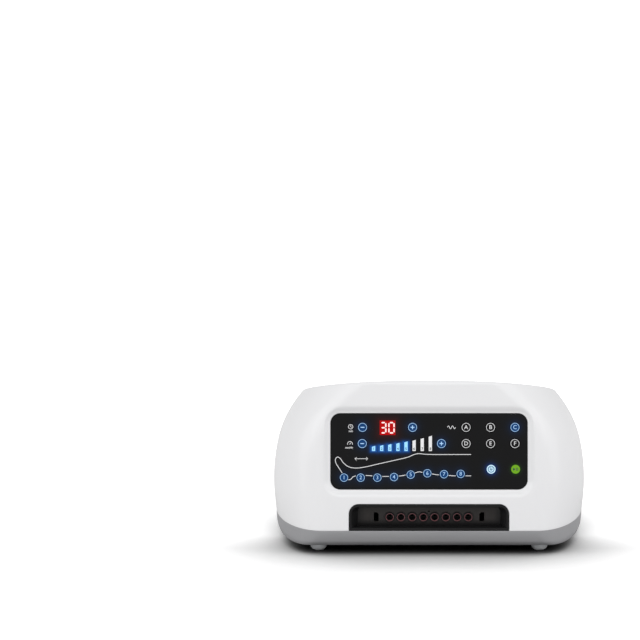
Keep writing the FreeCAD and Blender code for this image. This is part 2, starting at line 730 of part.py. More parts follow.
def lip_ring():
    """Locating lip that stands in the cover, on a step of the tray's wall."""
    outer = value("wall/cos(tilt) + fit_gap")
    inner = outer + value("lip_wall")
    step = -value("lip_height")
    root = lip_form(value("tray_wall/2"), step, 0).cut(lip_form(inner, step, 0))
    ring = lip_form(outer, 0, value("lip_height")).cut(lip_form(inner, 0, value("lip_height")))
    return root.fuse(ring).removeSplitter()


# ---------------------------------------------------------------- top cover

# Place of each key from the lens's middle, and the radius of its cap
KEY_PLACES = {
    "key_time_minus": (TIME_X, ROW_HIGH, "key_radius"),
    "key_time_plus": (f"({TIME_X} + time_span)", ROW_HIGH, "key_radius"),
    "key_pressure_minus": (PRESSURE_X, ROW_LOW, "key_radius"),
    "key_pressure_plus": (PRESSURE_UP_X, ROW_LOW, "key_radius"),
    "key_power": (POWER_X, POWER_ROW, "key_radius"),
    "key_start_pause": (START_X, POWER_ROW, "key_radius"),
}
for index, letter in enumerate("abcdef"):
    KEY_PLACES[f"key_mode_{letter}"] = (f"({MODE_X} + {index % 3}*mode_pitch)",
                                        ROW_LOW if index > 2 else ROW_HIGH, "key_radius")
# The chamber keys fill the room left of the power key and follow a leg: level under the foot,
# raised along calf and thigh
CHAMBER_LIFT = (0, 0, 0, 0.2, 1, 1.45, 1.15, 1.25)
SITE_X = "(site_in - lens_length/2)"
SITE_PITCH = f"(({POWER_X} - site_gap - {SITE_X})/({PORT_COUNT} - 1))"
for index, lift in enumerate(CHAMBER_LIFT):
    KEY_PLACES[f"key_position_{index + 1}"] = (f"({SITE_X} + {index}*{SITE_PITCH})",
                                               f"(site_rise - lens_height/2 + {lift}*site_calf)",
                                               "site_radius")


def rounded_prism(name, half_x, half_s, corner, low, high):
    """Rounded plate on the front face, between two distances out of it."""
    owner = body(name)
    drawn = sketch(owner, "XY_Plane", name + "_outline")
    rounded(drawn, half_x, half_s, corner)
    pad(owner, drawn, f"({high}) - ({low})")
    on_face(owner, "0", "panel_up", low)
    return owner


def panel_recess():
    """Dished recess round the panel: a short loft with sloping sides."""
    owner = body("panel_recess")
    floor = sketch(owner, "XY_Plane", "recess_floor")
    rounded(floor, "lens_length/2 + recess_gap", "lens_height/2 + recess_gap", "lens_corner + recess_gap")
    over = 1.5  # the form ends half a depth over the face
    brim = sketch(owner, "XY_Plane", "recess_brim", f"recess_depth*{over}")
    rounded(brim, f"lens_length/2 + recess_gap + recess_side*{over}",
            f"lens_height/2 + recess_gap + recess_slope*{over}",
            f"lens_corner + recess_gap + recess_round*{over}")
    loft(owner, floor, brim)
    on_face(owner, "0", "panel_up", "-recess_depth")
    return owner


def bay_prism(name, extra, front, back):
    """Outline of the bay insert, grown by extra, between two depths."""
    owner = body(name)
    drawn = sketch(owner, "XZ_Plane", name + "_outline")
    arch(drawn, f"bay_half + {extra}", f"split - ({extra})", f"split + bay_rise + {extra}",
         f"bay_corner + {extra}")
    pad(owner, drawn, f"({back}) - ({front})")
    place(owner, "0", back, "0")
    return owner


outside = solid("cover_outside", cover_outside())
inside = solid("cover_inside", cover_inside())
shell = cut("cover_shell", outside, [inside])

frame_x = "lens_length/2 + recess_gap + recess_side + frame_margin"
frame_s = "lens_height/2 + recess_gap + recess_slope + frame_margin"
thick = [face_box("panel_frame", (f"-({frame_x})", frame_x),
                  (f"panel_up - ({frame_s})", f"panel_up + {frame_s}"), (FRAME_BACK, "-wall/2")),
         box("mains_pad", ("pad_left - pad_margin", "pad_right + pad_margin"),
             (f"{PAD_PLANE} - pad_wall", BACK),
             ("split + pad_low - pad_margin", "split + pad_high + pad_margin"))]
for index, (x, y) in enumerate(CASE_BOSSES):
    thick.append(cylinder(f"cover_boss_{index}", "boss_radius", "roof_peak", x, y, "split + boss_seat"))
inner_forms = common("cover_inner_forms", outside, fuse("cover_thickening", thick))
inner = [shell, inner_forms]
for index, (sx, ss) in enumerate(((-1, -1), (1, -1), (-1, 1), (1, 1))):
    x, up = f"{sx}*{POST_X}", f"panel_up + {ss}*{POST_S}"
    inner.append(face_cylinder(f"board_post_{index}", "board_post", x, up,
                               (BOARD_FRONT, f"{FRAME_BACK} + past")))
    inner.append(face_cylinder(f"board_stake_{index}", "stake_radius", x, up,
                               (f"{BOARD_FRONT} - board_thick - stake_tail", f"{BOARD_FRONT} + past")))
moulding = fuse("cover_moulding", inner)

openings = [panel_recess(),
            rounded_prism("lens_seat", "lens_length/2 + fit_gap/2", "lens_height/2 + fit_gap/2",
                          "lens_corner + fit_gap/2", LENS_BACK, "0"),
            rounded_prism("panel_window", "lens_length/2 - frame_ledge", "lens_height/2 - frame_ledge",
                          "lens_corner - frame_ledge", f"{FRAME_BACK} - past", f"{LENS_BACK} + past"),
            bay_prism("bay_opening", "fit_gap", f"{FRONT} - beyond", f"{FRONT} + bay_depth"),
            box("mains_flat", ("pad_left", "pad_right"), (PAD_PLANE, f"{BACK} + beyond"),
                ("split + pad_low", "split + pad_high")),
            box("inlet_opening", ("inlet_x - inlet_length/2 - fit_gap", "inlet_x + inlet_length/2 + fit_gap"),
                (f"{PAD_PLANE} - pad_wall - past", f"{PAD_PLANE} + past"),
                (f"{MAINS} - inlet_height/2 - fit_gap", f"{MAINS} + inlet_height/2 + fit_gap")),
            box("switch_opening", (f"rocker_x - {BLOCK_X} - fit_gap", f"rocker_x + {BLOCK_X} + fit_gap"),
                (f"{PAD_PLANE} - pad_wall - past", f"{PAD_PLANE} + past"),
                (f"{MAINS} - {BLOCK_Z} - fit_gap", f"{MAINS} + {BLOCK_Z} + fit_gap"))]
for index, (x, y) in enumerate(CASE_BOSSES):
    openings.append(cylinder(f"cover_pilot_{index}", "screw_pilot", "pilot_depth + past",
                             x, y, "split + boss_seat - past"))
vents = body("vents")
vent = sketch(vents, "XZ_Plane", "vent")
polygon(vent, (("vent_left", "split + vent_low"), ("vent_left + vent_width", "split + vent_low"),
               ("vent_left + vent_width", "split + vent_low + vent_height"),
               ("vent_left", "split + vent_low + vent_height")))
in_row(vents, pad(vents, vent, "wall + beyond"), "vent_pitch", "vent_count")
place(vents, "0", f"{BACK} + beyond/2", "0")
openings.append(vents)
node(cut("cover", moulding, openings), "top_cover")


# ---------------------------------------------------------------- base tray, feet and screws

tray_shell = cut("tray_shell", solid("tray_outside", tray_outside()), [solid("tray_inside", tray_inside())])
lip = cut("tray_lip", solid("lip_ring", lip_ring()),
          [box("lip_gap", ("0 - bay_half - bay_flange - lip_clear", "bay_half + bay_flange + lip_clear"),
               (f"{FRONT} - past", f"{FRONT} + bay_depth"),
               ("split - tray_wall", "split + lip_height + past"))])
standing = [tray_shell, lip]
drilled = []
for index, (x, y) in enumerate(CASE_BOSSES):
    standing.append(cylinder(f"tray_post_{index}", "boss_radius", "split + boss_seat - foot_height - past",
                             x, y, "foot_height + past"))
    drilled.append(cylinder(f"tray_pass_{index}", "screw_pass", "split + boss_seat + past", x, y, "0"))
    drilled.append(cylinder(f"tray_well_{index}", "head_well", "well_depth + past", x, y, "foot_height - past"))
for index, (x, y) in enumerate(FEET):
    standing.append(cylinder(f"foot_boss_{index}", "boss_radius", "foot_boss - past",
                             x, y, "foot_height + past"))
    drilled.append(cylinder(f"foot_pilot_{index}", "screw_pilot", "foot_boss - boss_cap + past",
                            x, y, "foot_height - past"))
MANIFOLD_LOW = f"({PORTS} - manifold_under)"
for index, sign in enumerate(("-", "")):
    middle = f"{sign}stand_from"
    standing.append(box(f"manifold_stand_{index}", (f"{middle} - stand_half", f"{middle} + stand_half"),
                        (f"{FRONT} + manifold_y + past", f"{FRONT} + manifold_y + manifold_depth - past"),
                        (f"{FLOOR} - past", MANIFOLD_LOW)))
SUPPLY_CORNERS = [(x, y) for x in ("supply_x + supply_inset", "supply_x + supply_length - supply_inset")
                  for y in (f"{FRONT} + supply_y + supply_inset",
                            f"{FRONT} + supply_y + supply_depth - supply_inset")]
for index, (x, y) in enumerate(SUPPLY_CORNERS):
    standing.append(cylinder(f"supply_post_{index}", "board_post", "supply_post + past",
                             x, y, f"{FLOOR} - past"))
    standing.append(cylinder(f"supply_stake_{index}", "stake_radius", "board_thick + past + stake_tail",
                             x, y, f"{FLOOR} + supply_post - past"))
# Ribs from wall to floor carry the bay against the push of the hose plugs
RIB_PROFILE = ((f"{FRONT} + tray_wall/2", "split"),
               (f"{FRONT} + bilge_inset + tray_wall/2", "foot_height + bilge_rise"),
               (f"{FRONT} + keel_inset + tray_wall/2", f"{FLOOR} - past"),
               (BAY_BACK, f"{FLOOR} - past"), (BAY_BACK, "split"))
for index in range(-2, 3):
    rib = body(f"bay_rib_{index + 2}")
    side = sketch(rib, "YZ_Plane", f"rib_side_{index + 2}", f"{index}*rib_pitch - rib_thick/2")
    polygon(side, RIB_PROFILE)
    pad(rib, side, "rib_thick")
    standing.append(rib)
node(cut("tray", fuse("tray_moulding", standing), drilled), "base_tray")

feet = []
foot_screws = []
for index, (x, y) in enumerate(FEET):
    foot = turned(f"foot_{index}", (
        ("screw_pass", "foot_seat"), ("head_well", "foot_seat"), ("head_well", "0"), ("foot_sole", "0"),
        ("foot_radius - foot_round", "foot_round"), ("foot_radius", "foot_belt"),
        ("foot_radius", "foot_height"), ("screw_pass", "foot_height")))
    place(foot, x, y, "0")
    feet.append(foot)
    shank = cylinder(f"foot_shank_{index}", "screw_shank", "foot_height + foot_thread - foot_seat + past",
                     x, y, "foot_seat - past")
    head = cylinder(f"foot_head_{index}", "screw_head", "head_height", x, y, "foot_seat - head_height")
    foot_screws.append(fuse(f"foot_screw_{index}", [shank, head]))
node(together("feet", feet), "rubber_feet")
node(together("foot_fixings", foot_screws), "foot_screws")

case_screws = []
SEAT = "(foot_height + well_depth)"
for index, (x, y) in enumerate(CASE_BOSSES):
    shank = cylinder(f"case_shank_{index}", "screw_shank", f"split + boss_seat + case_thread - {SEAT} + past",
                     x, y, f"{SEAT} - past")
    head = cylinder(f"case_head_{index}", "screw_head", "head_height", x, y, f"{SEAT} - head_height")
    case_screws.append(fuse(f"case_screw_{index}", [shank, head]))
node(together("case_fixings", case_screws), "case_screws")


# ---------------------------------------------------------------- panel: lens, keys, lights, board

lens = body("lens")
lens_sketch = sketch(lens, "XY_Plane", "lens_outline")
rounded(lens_sketch, "lens_length/2", "lens_height/2", "lens_corner")
pad(lens, lens_sketch, "lens_thick")
key_holes = sketch(lens, "XY_Plane", "key_holes", "lens_thick")
for x, up, radius in KEY_PLACES.values():
    circle(key_holes, x, up, f"{radius} + key_gap")
pocket(lens, key_holes, "lens_thick")
on_face(lens, "0", "panel_up", LENS_BACK)
node(lens, "panel_lens")

for name, (x, up, radius) in KEY_PLACES.items():
    top = "(lens_thick + key_proud)"
    flange = "(0 - flange_gap)"
    key = turned(name + "_body", (
        ("0", top), (f"{radius} - key_round", top), (radius, f"{top} - key_round"), (radius, flange),
        (f"{radius} + key_flange", flange), (f"{radius} + key_flange", f"{flange} - flange_thick"),
        ("stem_radius", f"{flange} - flange_thick"), ("stem_radius", f"{STEM_END} - {LENS_BACK}"),
        ("0", f"{STEM_END} - {LENS_BACK}")))
    on_face(key, x, f"panel_up + {up}", LENS_BACK)
    node(key, name)

display = body("display")
display_outline = sketch(display, "XY_Plane", "display_outline")
rounded(display_outline, "display_length/2", "display_height/2", "display_corner")
pad(display, display_outline, f"{LENS_BACK} - light_gap - {BOARD_FRONT}")
on_face(display, f"{TIME_X} + time_span/2", f"panel_up + {ROW_HIGH} - display_drop", BOARD_FRONT)
node(display, "time_display")

bars = body("bars")
bar_outlines = sketch(bars, "XY_Plane", "bar_outlines")
BAR_FOOT = f"({ROW_LOW} - bar_drop)"
BAR_X = f"({PRESSURE_X} + bar_margin)"
BAR_PITCH = f"(({PRESSURE_UP_X} - bar_margin - {BAR_X})/({PORT_COUNT} - 1))"
for index in range(PORT_COUNT):
    x, high = f"({BAR_X} + {index}*{BAR_PITCH})", f"({BAR_FOOT} + bar_first*bar_growth^{index})"
    polygon(bar_outlines, ((f"{x} - bar_width/2", BAR_FOOT), (f"{x} + bar_width/2", BAR_FOOT),
                           (f"{x} + bar_width/2", high), (f"{x} - bar_width/2", f"{high} - bar_slant")))
pad(bars, bar_outlines, f"{LENS_BACK} - light_gap - {BOARD_FRONT}")
on_face(bars, "0", "panel_up", BOARD_FRONT)
node(bars, "pressure_bars")

switches = []
for index, (x, up, radius) in enumerate(KEY_PLACES.values()):
    s = f"panel_up + {up}"
    switches.append(face_box(f"switch_{index}", (f"{x} - switch_width/2", f"{x} + switch_width/2"),
                             (f"{s} - switch_width/2", f"{s} + switch_width/2"),
                             (BOARD_FRONT, f"{BOARD_FRONT} + switch_height")))
    switches.append(face_cylinder(f"switch_button_{index}", "switch_button_radius", x, s,
                                  (f"{BOARD_FRONT} + switch_height - past", SWITCH_TOP)))
node(fuse("switches", switches), "tact_switches")

board = body("board")
board_outline = sketch(board, "XY_Plane", "board_outline")
rounded(board_outline, f"{POST_X} + board_edge", f"{POST_S} + board_brim", "board_corner")
for sx in ("-", ""):
    for ss in ("-", ""):
        circle(board_outline, f"{sx}{POST_X}", f"{ss}{POST_S}", "stake_radius + stake_gap")
pad(board, board_outline, "board_thick")
on_face(board, "0", "panel_up", f"{BOARD_FRONT} - board_thick")
node(board, "control_board")


# ---------------------------------------------------------------- port bay and ports

def bay_hollow():
    """Hollow of the bay: wide mouth, narrower back wall."""
    owner = body("bay_hollow")
    corner = "bay_corner - bay_rim"
    low, high = "split + bay_rim", "split + bay_rise - bay_rim"
    back = sketch(owner, "XZ_Plane", "hollow_back")
    arch(back, "bay_half - bay_rim - bay_splay", low, high, corner)
    mouth = sketch(owner, "XZ_Plane", "hollow_mouth", "bay_depth + past")
    arch(mouth, "bay_half - bay_rim", low, high, corner)
    loft(owner, back, mouth)
    place(owner, "0", f"{FRONT} + bay_depth", "0")
    return owner


BESIDE_BAY = ("0 - bay_half - beyond", "bay_half + beyond")
behind_wall = face_box("behind_wall", BESIDE_BAY, ("-beyond", "bay_rise + beyond"),
                       ("0 - wall - fit_gap - bay_flange_thick", "0 - wall - fit_gap"))
ahead_of_face = face_box("ahead_of_face", BESIDE_BAY, ("-beyond", "bay_rise + beyond"), ("0", "beyond"))
bay_block = cut("bay_block", bay_prism("bay_outline", "0", f"{FRONT} - past", BAY_BACK), [ahead_of_face])
bay_flange = common("bay_flange", bay_prism("flange_outline", "bay_flange", f"{FRONT} - past", BAY_BACK),
                    behind_wall)
flange_foot = box("flange_foot", BESIDE_BAY, (f"{FRONT} - beyond", BAY_BACK), ("split - beyond", "split"))
bay_solid = cut("bay_solid", fuse("bay_whole", [bay_block, bay_flange]), [flange_foot])
bay_cuts = [bay_hollow(), cylinder("drain", "drain_radius", "bay_wall + 2*past", "0",
                                   f"{BAY_BACK} - bay_wall - past", "split + drain_rise", "Y")]
for index in range(PORT_COUNT):
    bay_cuts.append(cylinder(f"port_hole_{index}", "port_radius + port_gap", "bay_wall + 2*past",
                             f"{FIRST_PORT} + {index}*port_pitch", f"{BAY_BACK} - bay_wall - past", PORTS, "Y"))
for name, inner_side in (("latch_left", 1), ("latch_right", -1)):
    latch = body(name)
    slot = sketch(latch, "XZ_Plane", name + "_slot")
    x, low, high = f"({-inner_side}*latch_x)", f"{PORTS} - latch_height/2", f"{PORTS} + latch_height/2"
    half = f"{inner_side}*latch_width/2"
    polygon(slot, ((f"{x} - {half}", low), (f"{x} + {half}", low),
                   (f"{x} + {half}", f"{high} - latch_chamfer"),
                   (f"{x} + {half} - {inner_side}*latch_chamfer", high), (f"{x} - {half}", high)))
    pad(latch, slot, "bay_wall + 2*past")
    place(latch, "0", f"{BAY_BACK} + past", "0")
    bay_cuts.append(latch)
node(cut("bay", bay_solid, bay_cuts), "port_bay")


def port_row(name, points):
    """Eight like pieces turned about the port axes; heights count back from the socket's mouth."""
    owner = body(name)
    profile = sketch(owner, "XY_Plane", name + "_profile")
    polygon(profile, points)
    made = owner.newObject("PartDesign::Revolution", name + "_turn")
    made.Profile = profile
    made.ReferenceAxis = (profile, ["V_Axis"])
    made.Angle = 360
    in_row(owner, made, "port_pitch", str(PORT_COUNT))
    place(owner, FIRST_PORT, PORT_FRONT, PORTS)
    return owner


wall_back = "(port_proud + bay_wall + port_gap)"
bore_end = "(seal_length + port_bore_length)"
shell_end = f"({bore_end} + bore_floor)"
collar_end = f"({wall_back} + port_collar_thick)"
node(port_row("ports", (
    ("seal_outer + seal_gap", "0"), ("port_radius", "0"), ("port_radius", wall_back),
    ("port_collar", wall_back), ("port_collar", collar_end), ("port_bore + port_shell", collar_end),
    ("port_bore + port_shell", shell_end), ("barb_radius", shell_end),
    ("barb_radius", f"{shell_end} + barb_length"), ("barb_bore", f"{shell_end} + barb_length"),
    ("barb_bore", bore_end), ("port_bore", bore_end), ("port_bore", "seal_length"),
    ("seal_outer + seal_gap", "seal_length"))), "air_ports")
node(port_row("seals", (("seal_inner", "0"), ("seal_outer", "0"), ("seal_outer", "seal_length"),
                        ("seal_inner", "seal_length"))), "port_seals")


# ---------------------------------------------------------------- valve bank

MANIFOLD_FRONT = f"({FRONT} + manifold_y)"
MANIFOLD_BACK = f"({FRONT} + manifold_y + manifold_depth)"
TUBE_START = f"({PORT_FRONT} + {shell_end} + tube_end)"
manifold_half = f"(0 - {FIRST_PORT} + manifold_end)"
manifold_solid = [box("manifold_block", (f"-{manifold_half}", manifold_half), (MANIFOLD_FRONT, MANIFOLD_BACK),
                      (MANIFOLD_LOW, f"{PORTS} + manifold_over")),
                  cylinder("feed_barb", "barb_radius", "barb_length + past", f"-{manifold_half} - barb_length",
                           f"{MANIFOLD_FRONT} + manifold_depth/2", PORTS, "X")]
manifold_bores = [cylinder("feed_bore", "barb_bore", "2*port_pitch + barb_length",
                           f"-{manifold_half} - barb_length - past",
                           f"{MANIFOLD_FRONT} + manifold_depth/2", PORTS, "X")]
for index in range(PORT_COUNT):
    x = f"{FIRST_PORT} + {index}*port_pitch"
    manifold_solid.append(cylinder(f"manifold_barb_{index}", "barb_radius", "barb_length + past",
                                   x, f"{MANIFOLD_FRONT} - barb_length", PORTS, "Y"))
    manifold_bores.append(cylinder(f"manifold_bore_{index}", "barb_bore", "barb_length + manifold_depth/2",
                                   x, f"{MANIFOLD_FRONT} - barb_length - past", PORTS, "Y"))
node(cut("manifold", fuse("manifold_solid", manifold_solid), manifold_bores), "valve_manifold")

coils = body("coils")
coil_section = sketch(coils, "XZ_Plane", "coil_section")
low, high = "0 - manifold_under + coil_margin", "manifold_over - coil_margin"
polygon(coil_section, (("-coil_width/2", low), ("coil_width/2", low),
                       ("coil_width/2", high), ("-coil_width/2", high)))
circle(coil_section, "0", "0", "plunger_radius + plunger_gap")
in_row(coils, pad(coils, coil_section, "coil_depth"), "port_pitch", str(PORT_COUNT))
place(coils, FIRST_PORT, f"{MANIFOLD_BACK} + coil_depth", PORTS)
node(coils, "valve_coils")
for index in range(PORT_COUNT):
    node(cylinder(f"plunger_{index}", "plunger_radius", "plunger_length", f"{FIRST_PORT} + {index}*port_pitch",
                  f"{MANIFOLD_BACK} + plunger_travel + plunger_free", PORTS, "Y"), f"valve_plunger_{index + 1}")

tubes = body("tubes")
tube_section = sketch(tubes, "XZ_Plane", "tube_section")
circle(tube_section, "0", "0", "barb_radius + tube_gap + tube_wall")
circle(tube_section, "0", "0", "barb_radius + tube_gap")
in_row(tubes, pad(tubes, tube_section, f"{MANIFOLD_FRONT} - tube_end - {TUBE_START}"),
       "port_pitch", str(PORT_COUNT))
place(tubes, FIRST_PORT, f"{MANIFOLD_FRONT} - tube_end", PORTS)
node(tubes, "port_tubes")


# ---------------------------------------------------------------- linear air pump

PUMP_Y = f"({FRONT} + pump_y)"
PUMP_LOW = f"({FLOOR} + isolator_height)"
PUMP_AXIS = f"({PUMP_LOW} + pump_deck + (pump_height - pump_deck)/2)"
PUMP_HALF_Y = "pump_width/2"
ACROSS_PUMP = (f"{PUMP_Y} - {PUMP_HALF_Y}", f"{PUMP_Y} + {PUMP_HALF_Y}")
frame_solid = [box("pump_deck", ("pump_x - pump_half", "pump_x + pump_half"), ACROSS_PUMP,
                   (PUMP_LOW, f"{PUMP_LOW} + pump_deck"))]
frame_cuts = []
for index, (x0, x1) in enumerate((("pump_x - pump_half", "pump_x - pump_half + pump_plate"),
                                  ("pump_x + pump_half - pump_plate", "pump_x + pump_half"))):
    frame_solid.append(box(f"end_plate_{index}", (x0, x1), ACROSS_PUMP,
                           (PUMP_LOW, f"{PUMP_LOW} + pump_height")))
    frame_cuts.append(cylinder(f"end_eye_{index}", "port_eye", "pump_plate + 2*past", f"{x0} - past",
                               PUMP_Y, PUMP_AXIS, "X"))
CORE_IN = "(armature_width/2 + magnet_gap)"
YOKE_IN, YOKE_OUT = f"({CORE_IN} + core_depth - core_back)", f"({CORE_IN} + core_depth)"
for name, rail in (("front_rail", (f"{PUMP_Y} - {YOKE_OUT}", f"{PUMP_Y} - {YOKE_IN}")),
                   ("back_rail", (f"{PUMP_Y} + {YOKE_IN}", f"{PUMP_Y} + {YOKE_OUT}"))):
    frame_solid.append(box(name, ("pump_x - core_half", "pump_x + core_half"), rail,
                           (f"{PUMP_LOW} + pump_deck - past", f"{PUMP_AXIS} - core_height/2")))
node(cut("pump_frame", fuse("pump_frame_solid", frame_solid), frame_cuts), "pump_chassis")

cores = []
windings = []
for side, sign in (("front", -1), ("back", 1)):
    core = body(f"core_{side}")
    e_shape = sketch(core, "XY_Plane", f"core_{side}_shape")
    inner_y, yoke_y, back_y = f"({sign}*{CORE_IN})", f"({sign}*{YOKE_IN})", f"({sign}*{YOKE_OUT})"
    polygon(e_shape, (("-core_half", back_y), ("-core_half", inner_y), ("core_leg - core_half", inner_y),
                      ("core_leg - core_half", yoke_y), ("-core_leg", yoke_y), ("-core_leg", inner_y),
                      ("core_leg", inner_y), ("core_leg", yoke_y), ("core_half - core_leg", yoke_y),
                      ("core_half - core_leg", inner_y), ("core_half", inner_y), ("core_half", back_y)))
    pad(core, e_shape, "core_height")
    place(core, "pump_x", PUMP_Y, f"{PUMP_AXIS} - core_height/2")
    cores.append(core)
    y0, y1 = f"({CORE_IN} + coil_recess)", f"({YOKE_IN} - coil_skin)"
    along = (f"{PUMP_Y} + {y0}", f"{PUMP_Y} + {y1}") if sign > 0 else (f"{PUMP_Y} - {y1}", f"{PUMP_Y} - {y0}")
    reach = "(core_half - core_leg - coil_skin)"
    ring = box(f"winding_{side}", (f"pump_x - {reach}", f"pump_x + {reach}"), along,
               (f"{PUMP_AXIS} - core_height/2 - coil_over", f"{PUMP_AXIS} + core_height/2 + coil_over"))
    eye = box(f"winding_eye_{side}", ("pump_x - core_leg - coil_skin", "pump_x + core_leg + coil_skin"),
              ACROSS_PUMP,
              (f"{PUMP_AXIS} - core_height/2 - coil_skin", f"{PUMP_AXIS} + core_height/2 + coil_skin"))
    windings.append(cut(f"winding_ring_{side}", ring, [eye]))
node(together("cores", cores), "pump_cores")
node(together("windings", windings), "pump_coils")

DISC_IN = "(pump_half - fit_gap/2 - disc_thick)"
armature = [box("armature_bar", ("pump_x - armature_half", "pump_x + armature_half"),
                (f"{PUMP_Y} - armature_width/2", f"{PUMP_Y} + armature_width/2"),
                (f"{PUMP_AXIS} - armature_height/2", f"{PUMP_AXIS} + armature_height/2")),
            cylinder("armature_rod", "rod_radius", f"2*{DISC_IN} + past", f"pump_x - {DISC_IN} - past/2",
                     PUMP_Y, PUMP_AXIS, "X"),
            cylinder("disc_left", "disc_radius", "disc_thick", f"pump_x - {DISC_IN} - disc_thick",
                     PUMP_Y, PUMP_AXIS, "X"),
            cylinder("disc_right", "disc_radius", "disc_thick", f"pump_x + {DISC_IN}", PUMP_Y, PUMP_AXIS, "X")]
node(fuse("armature", armature), "pump_armature")

HEAD_MIDDLE = "(pump_x - pump_half - rubber - head_length/2)"
diaphragms = []
heads = []
for index, sign in enumerate((-1, 1)):
    face_x = f"pump_x + {sign}*pump_half"
    diaphragm = cylinder(f"diaphragm_{index}", "head_radius - rubber_inset", "rubber",
                         f"{face_x}" + (" - rubber" if sign < 0 else ""), PUMP_Y, PUMP_AXIS, "X")
    diaphragms.append(diaphragm)
    start = f"{face_x} - rubber - head_length" if sign < 0 else f"{face_x} + rubber"
    dome = cylinder(f"head_{index}", "head_radius", "head_length", start, PUMP_Y, PUMP_AXIS, "X")
    chamber = cylinder(f"chamber_{index}", "port_eye", "head_length - head_cap",
                       f"{start} + head_cap" if sign < 0 else start, PUMP_Y, PUMP_AXIS, "X")
    nozzle = cylinder(f"nozzle_{index}", "barb_radius", "head_radius - port_eye + barb_length", HEAD_MIDDLE,
                      f"{PUMP_Y} - head_radius - barb_length", PORTS, "Y")
    nozzle_bore = cylinder(f"nozzle_bore_{index}", "barb_bore", "head_radius - port_eye/2 + barb_length",
                           HEAD_MIDDLE, f"{PUMP_Y} - head_radius - barb_length - past", PORTS, "Y")
    whole = fuse(f"head_whole_{index}", [dome, nozzle]) if sign < 0 else dome
    heads.append(cut(f"pump_head_{index}", whole, [chamber, nozzle_bore] if sign < 0 else [chamber]))
node(together("diaphragms", diaphragms), "pump_diaphragms")
node(together("heads", heads), "pump_heads")

isolators = []
for index, (sx, sy) in enumerate(((-1, -1), (1, -1), (-1, 1), (1, 1))):
    isolators.append(cylinder(f"isolator_{index}", "isolator_radius", "isolator_height",
                              f"pump_x + {sx}*isolator_x", f"{PUMP_Y} + {sy}*isolator_y", FLOOR))
node(together("isolators", isolators), "pump_isolators")


def supply_tube():
    """Air tube from the manifold's end to the pump's left head, round one corner."""
    start = V(value(f"-{manifold_half} - tube_end"), value(f"{MANIFOLD_FRONT} + manifold_depth/2"),
              value(PORTS))
    stop = V(value(HEAD_MIDDLE), value(f"{PUMP_Y} - head_radius - tube_end"), start.z)
    corner = V(stop.x, start.y, start.z)
    bend = min(value("supply_bend"), corner.distanceToPoint(start), corner.distanceToPoint(stop))
    centre = corner + V(bend, bend, 0)

    def run(radius):
        """Two straights and a quarter turn of one radius."""
        turn = Part.makeTorus(bend, radius, centre, V(0, 0, 1), -180, 180, 90)
        turn.rotate(centre, V(0, 0, 1), 180)
        across = Part.makeCylinder(radius, start.x - corner.x - bend, start, V(-1, 0, 0))
        along = Part.makeCylinder(radius, stop.y - corner.y - bend, stop, V(0, -1, 0))
        return across.fuse([turn, along])

    return run(value("barb_radius + tube_gap + tube_wall")).cut(run(value("barb_radius + tube_gap")))


node(solid("tube_to_valves", supply_tube()), "supply_tube")


# ---------------------------------------------------------------- mains side

def inlet_profile(owner, name, offset, length, height):
    """Rectangle whose upper corners are cut, as on every such inlet."""
    drawn = sketch(owner, "XZ_Plane", name, offset)
    x, z = f"({length})/2", f"({height})/2"
    polygon(drawn, ((f"-{x}", f"-{z}"), (x, f"-{z}"), (x, f"{z} - socket_chamfer"),
                    (f"{x} - socket_chamfer", z), (f"socket_chamfer - {x}", z),
                    (f"-{x}", f"{z} - socket_chamfer")))
    return drawn


inlet = body("inlet")
flange = sketch(inlet, "XZ_Plane", "inlet_flange", "-pad_depth")
rounded(flange, "inlet_flange_length/2", "inlet_flange_height/2", "flange_corner")
pad(inlet, flange, "pad_depth")
pad(inlet, inlet_profile(inlet, "inlet_case", "0", "inlet_length", "inlet_height"), "inlet_depth")
socket = inlet_profile(inlet, "inlet_socket", "socket_depth - pad_depth", "socket_length", "socket_height")
pocket(inlet, socket, "socket_depth")
place(inlet, "inlet_x", PAD_PLANE, MAINS)
pins = []
SOCKET_FLOOR = f"({BACK} - socket_depth)"
PIN_PLACES = (("-pin_pitch", "-pin_raise"), ("0", "pin_raise"), ("pin_pitch", "-pin_raise"))
for index, (side, lift) in enumerate(PIN_PLACES):
    x, z = f"inlet_x + {side}", f"{MAINS} + {lift}"
    pins.append(box(f"pin_{index}", (f"{x} - pin_width/2", f"{x} + pin_width/2"),
                    (f"{PAD_PLANE} - inlet_depth - pin_tail", f"{SOCKET_FLOOR} + pin_length"),
                    (f"{z} - pin_height/2", f"{z} + pin_height/2")))
inlet_metal = together("inlet_metal", pins)
node(cut("inlet_with_pins", inlet, [inlet_metal]), "mains_inlet")
node(inlet_metal, "inlet_pins")

PIVOT_Y = f"({PAD_PLANE} - rocker_pivot)"
switch_case = fuse("switch_case", [
    box("switch_bezel", ("rocker_x - bezel_width/2", "rocker_x + bezel_width/2"),
        (PAD_PLANE, f"{PAD_PLANE} + bezel_thick"),
        (f"{MAINS} - bezel_height/2", f"{MAINS} + bezel_height/2")),
    box("switch_block", (f"rocker_x - {BLOCK_X}", f"rocker_x + {BLOCK_X}"),
        (f"{PAD_PLANE} - switch_depth", PAD_PLANE), (f"{MAINS} - {BLOCK_Z}", f"{MAINS} + {BLOCK_Z}"))])
switch_hollow = [
    box("rocker_window", ("rocker_x - rocker_width/2 - rocker_gap", "rocker_x + rocker_width/2 + rocker_gap"),
        (f"{PIVOT_Y} - rocker_dip - rocker_gap - rocker_room", f"{BACK} + past"),
        (f"{MAINS} - rocker_half - rocker_gap", f"{MAINS} + rocker_half + rocker_gap")),
    cylinder("rocker_bearing", "rocker_pin + pin_gap", "bezel_width", "rocker_x - bezel_width/2",
             PIVOT_Y, MAINS, "X")]
node(cut("switch_housing", switch_case, switch_hollow), "switch_body")

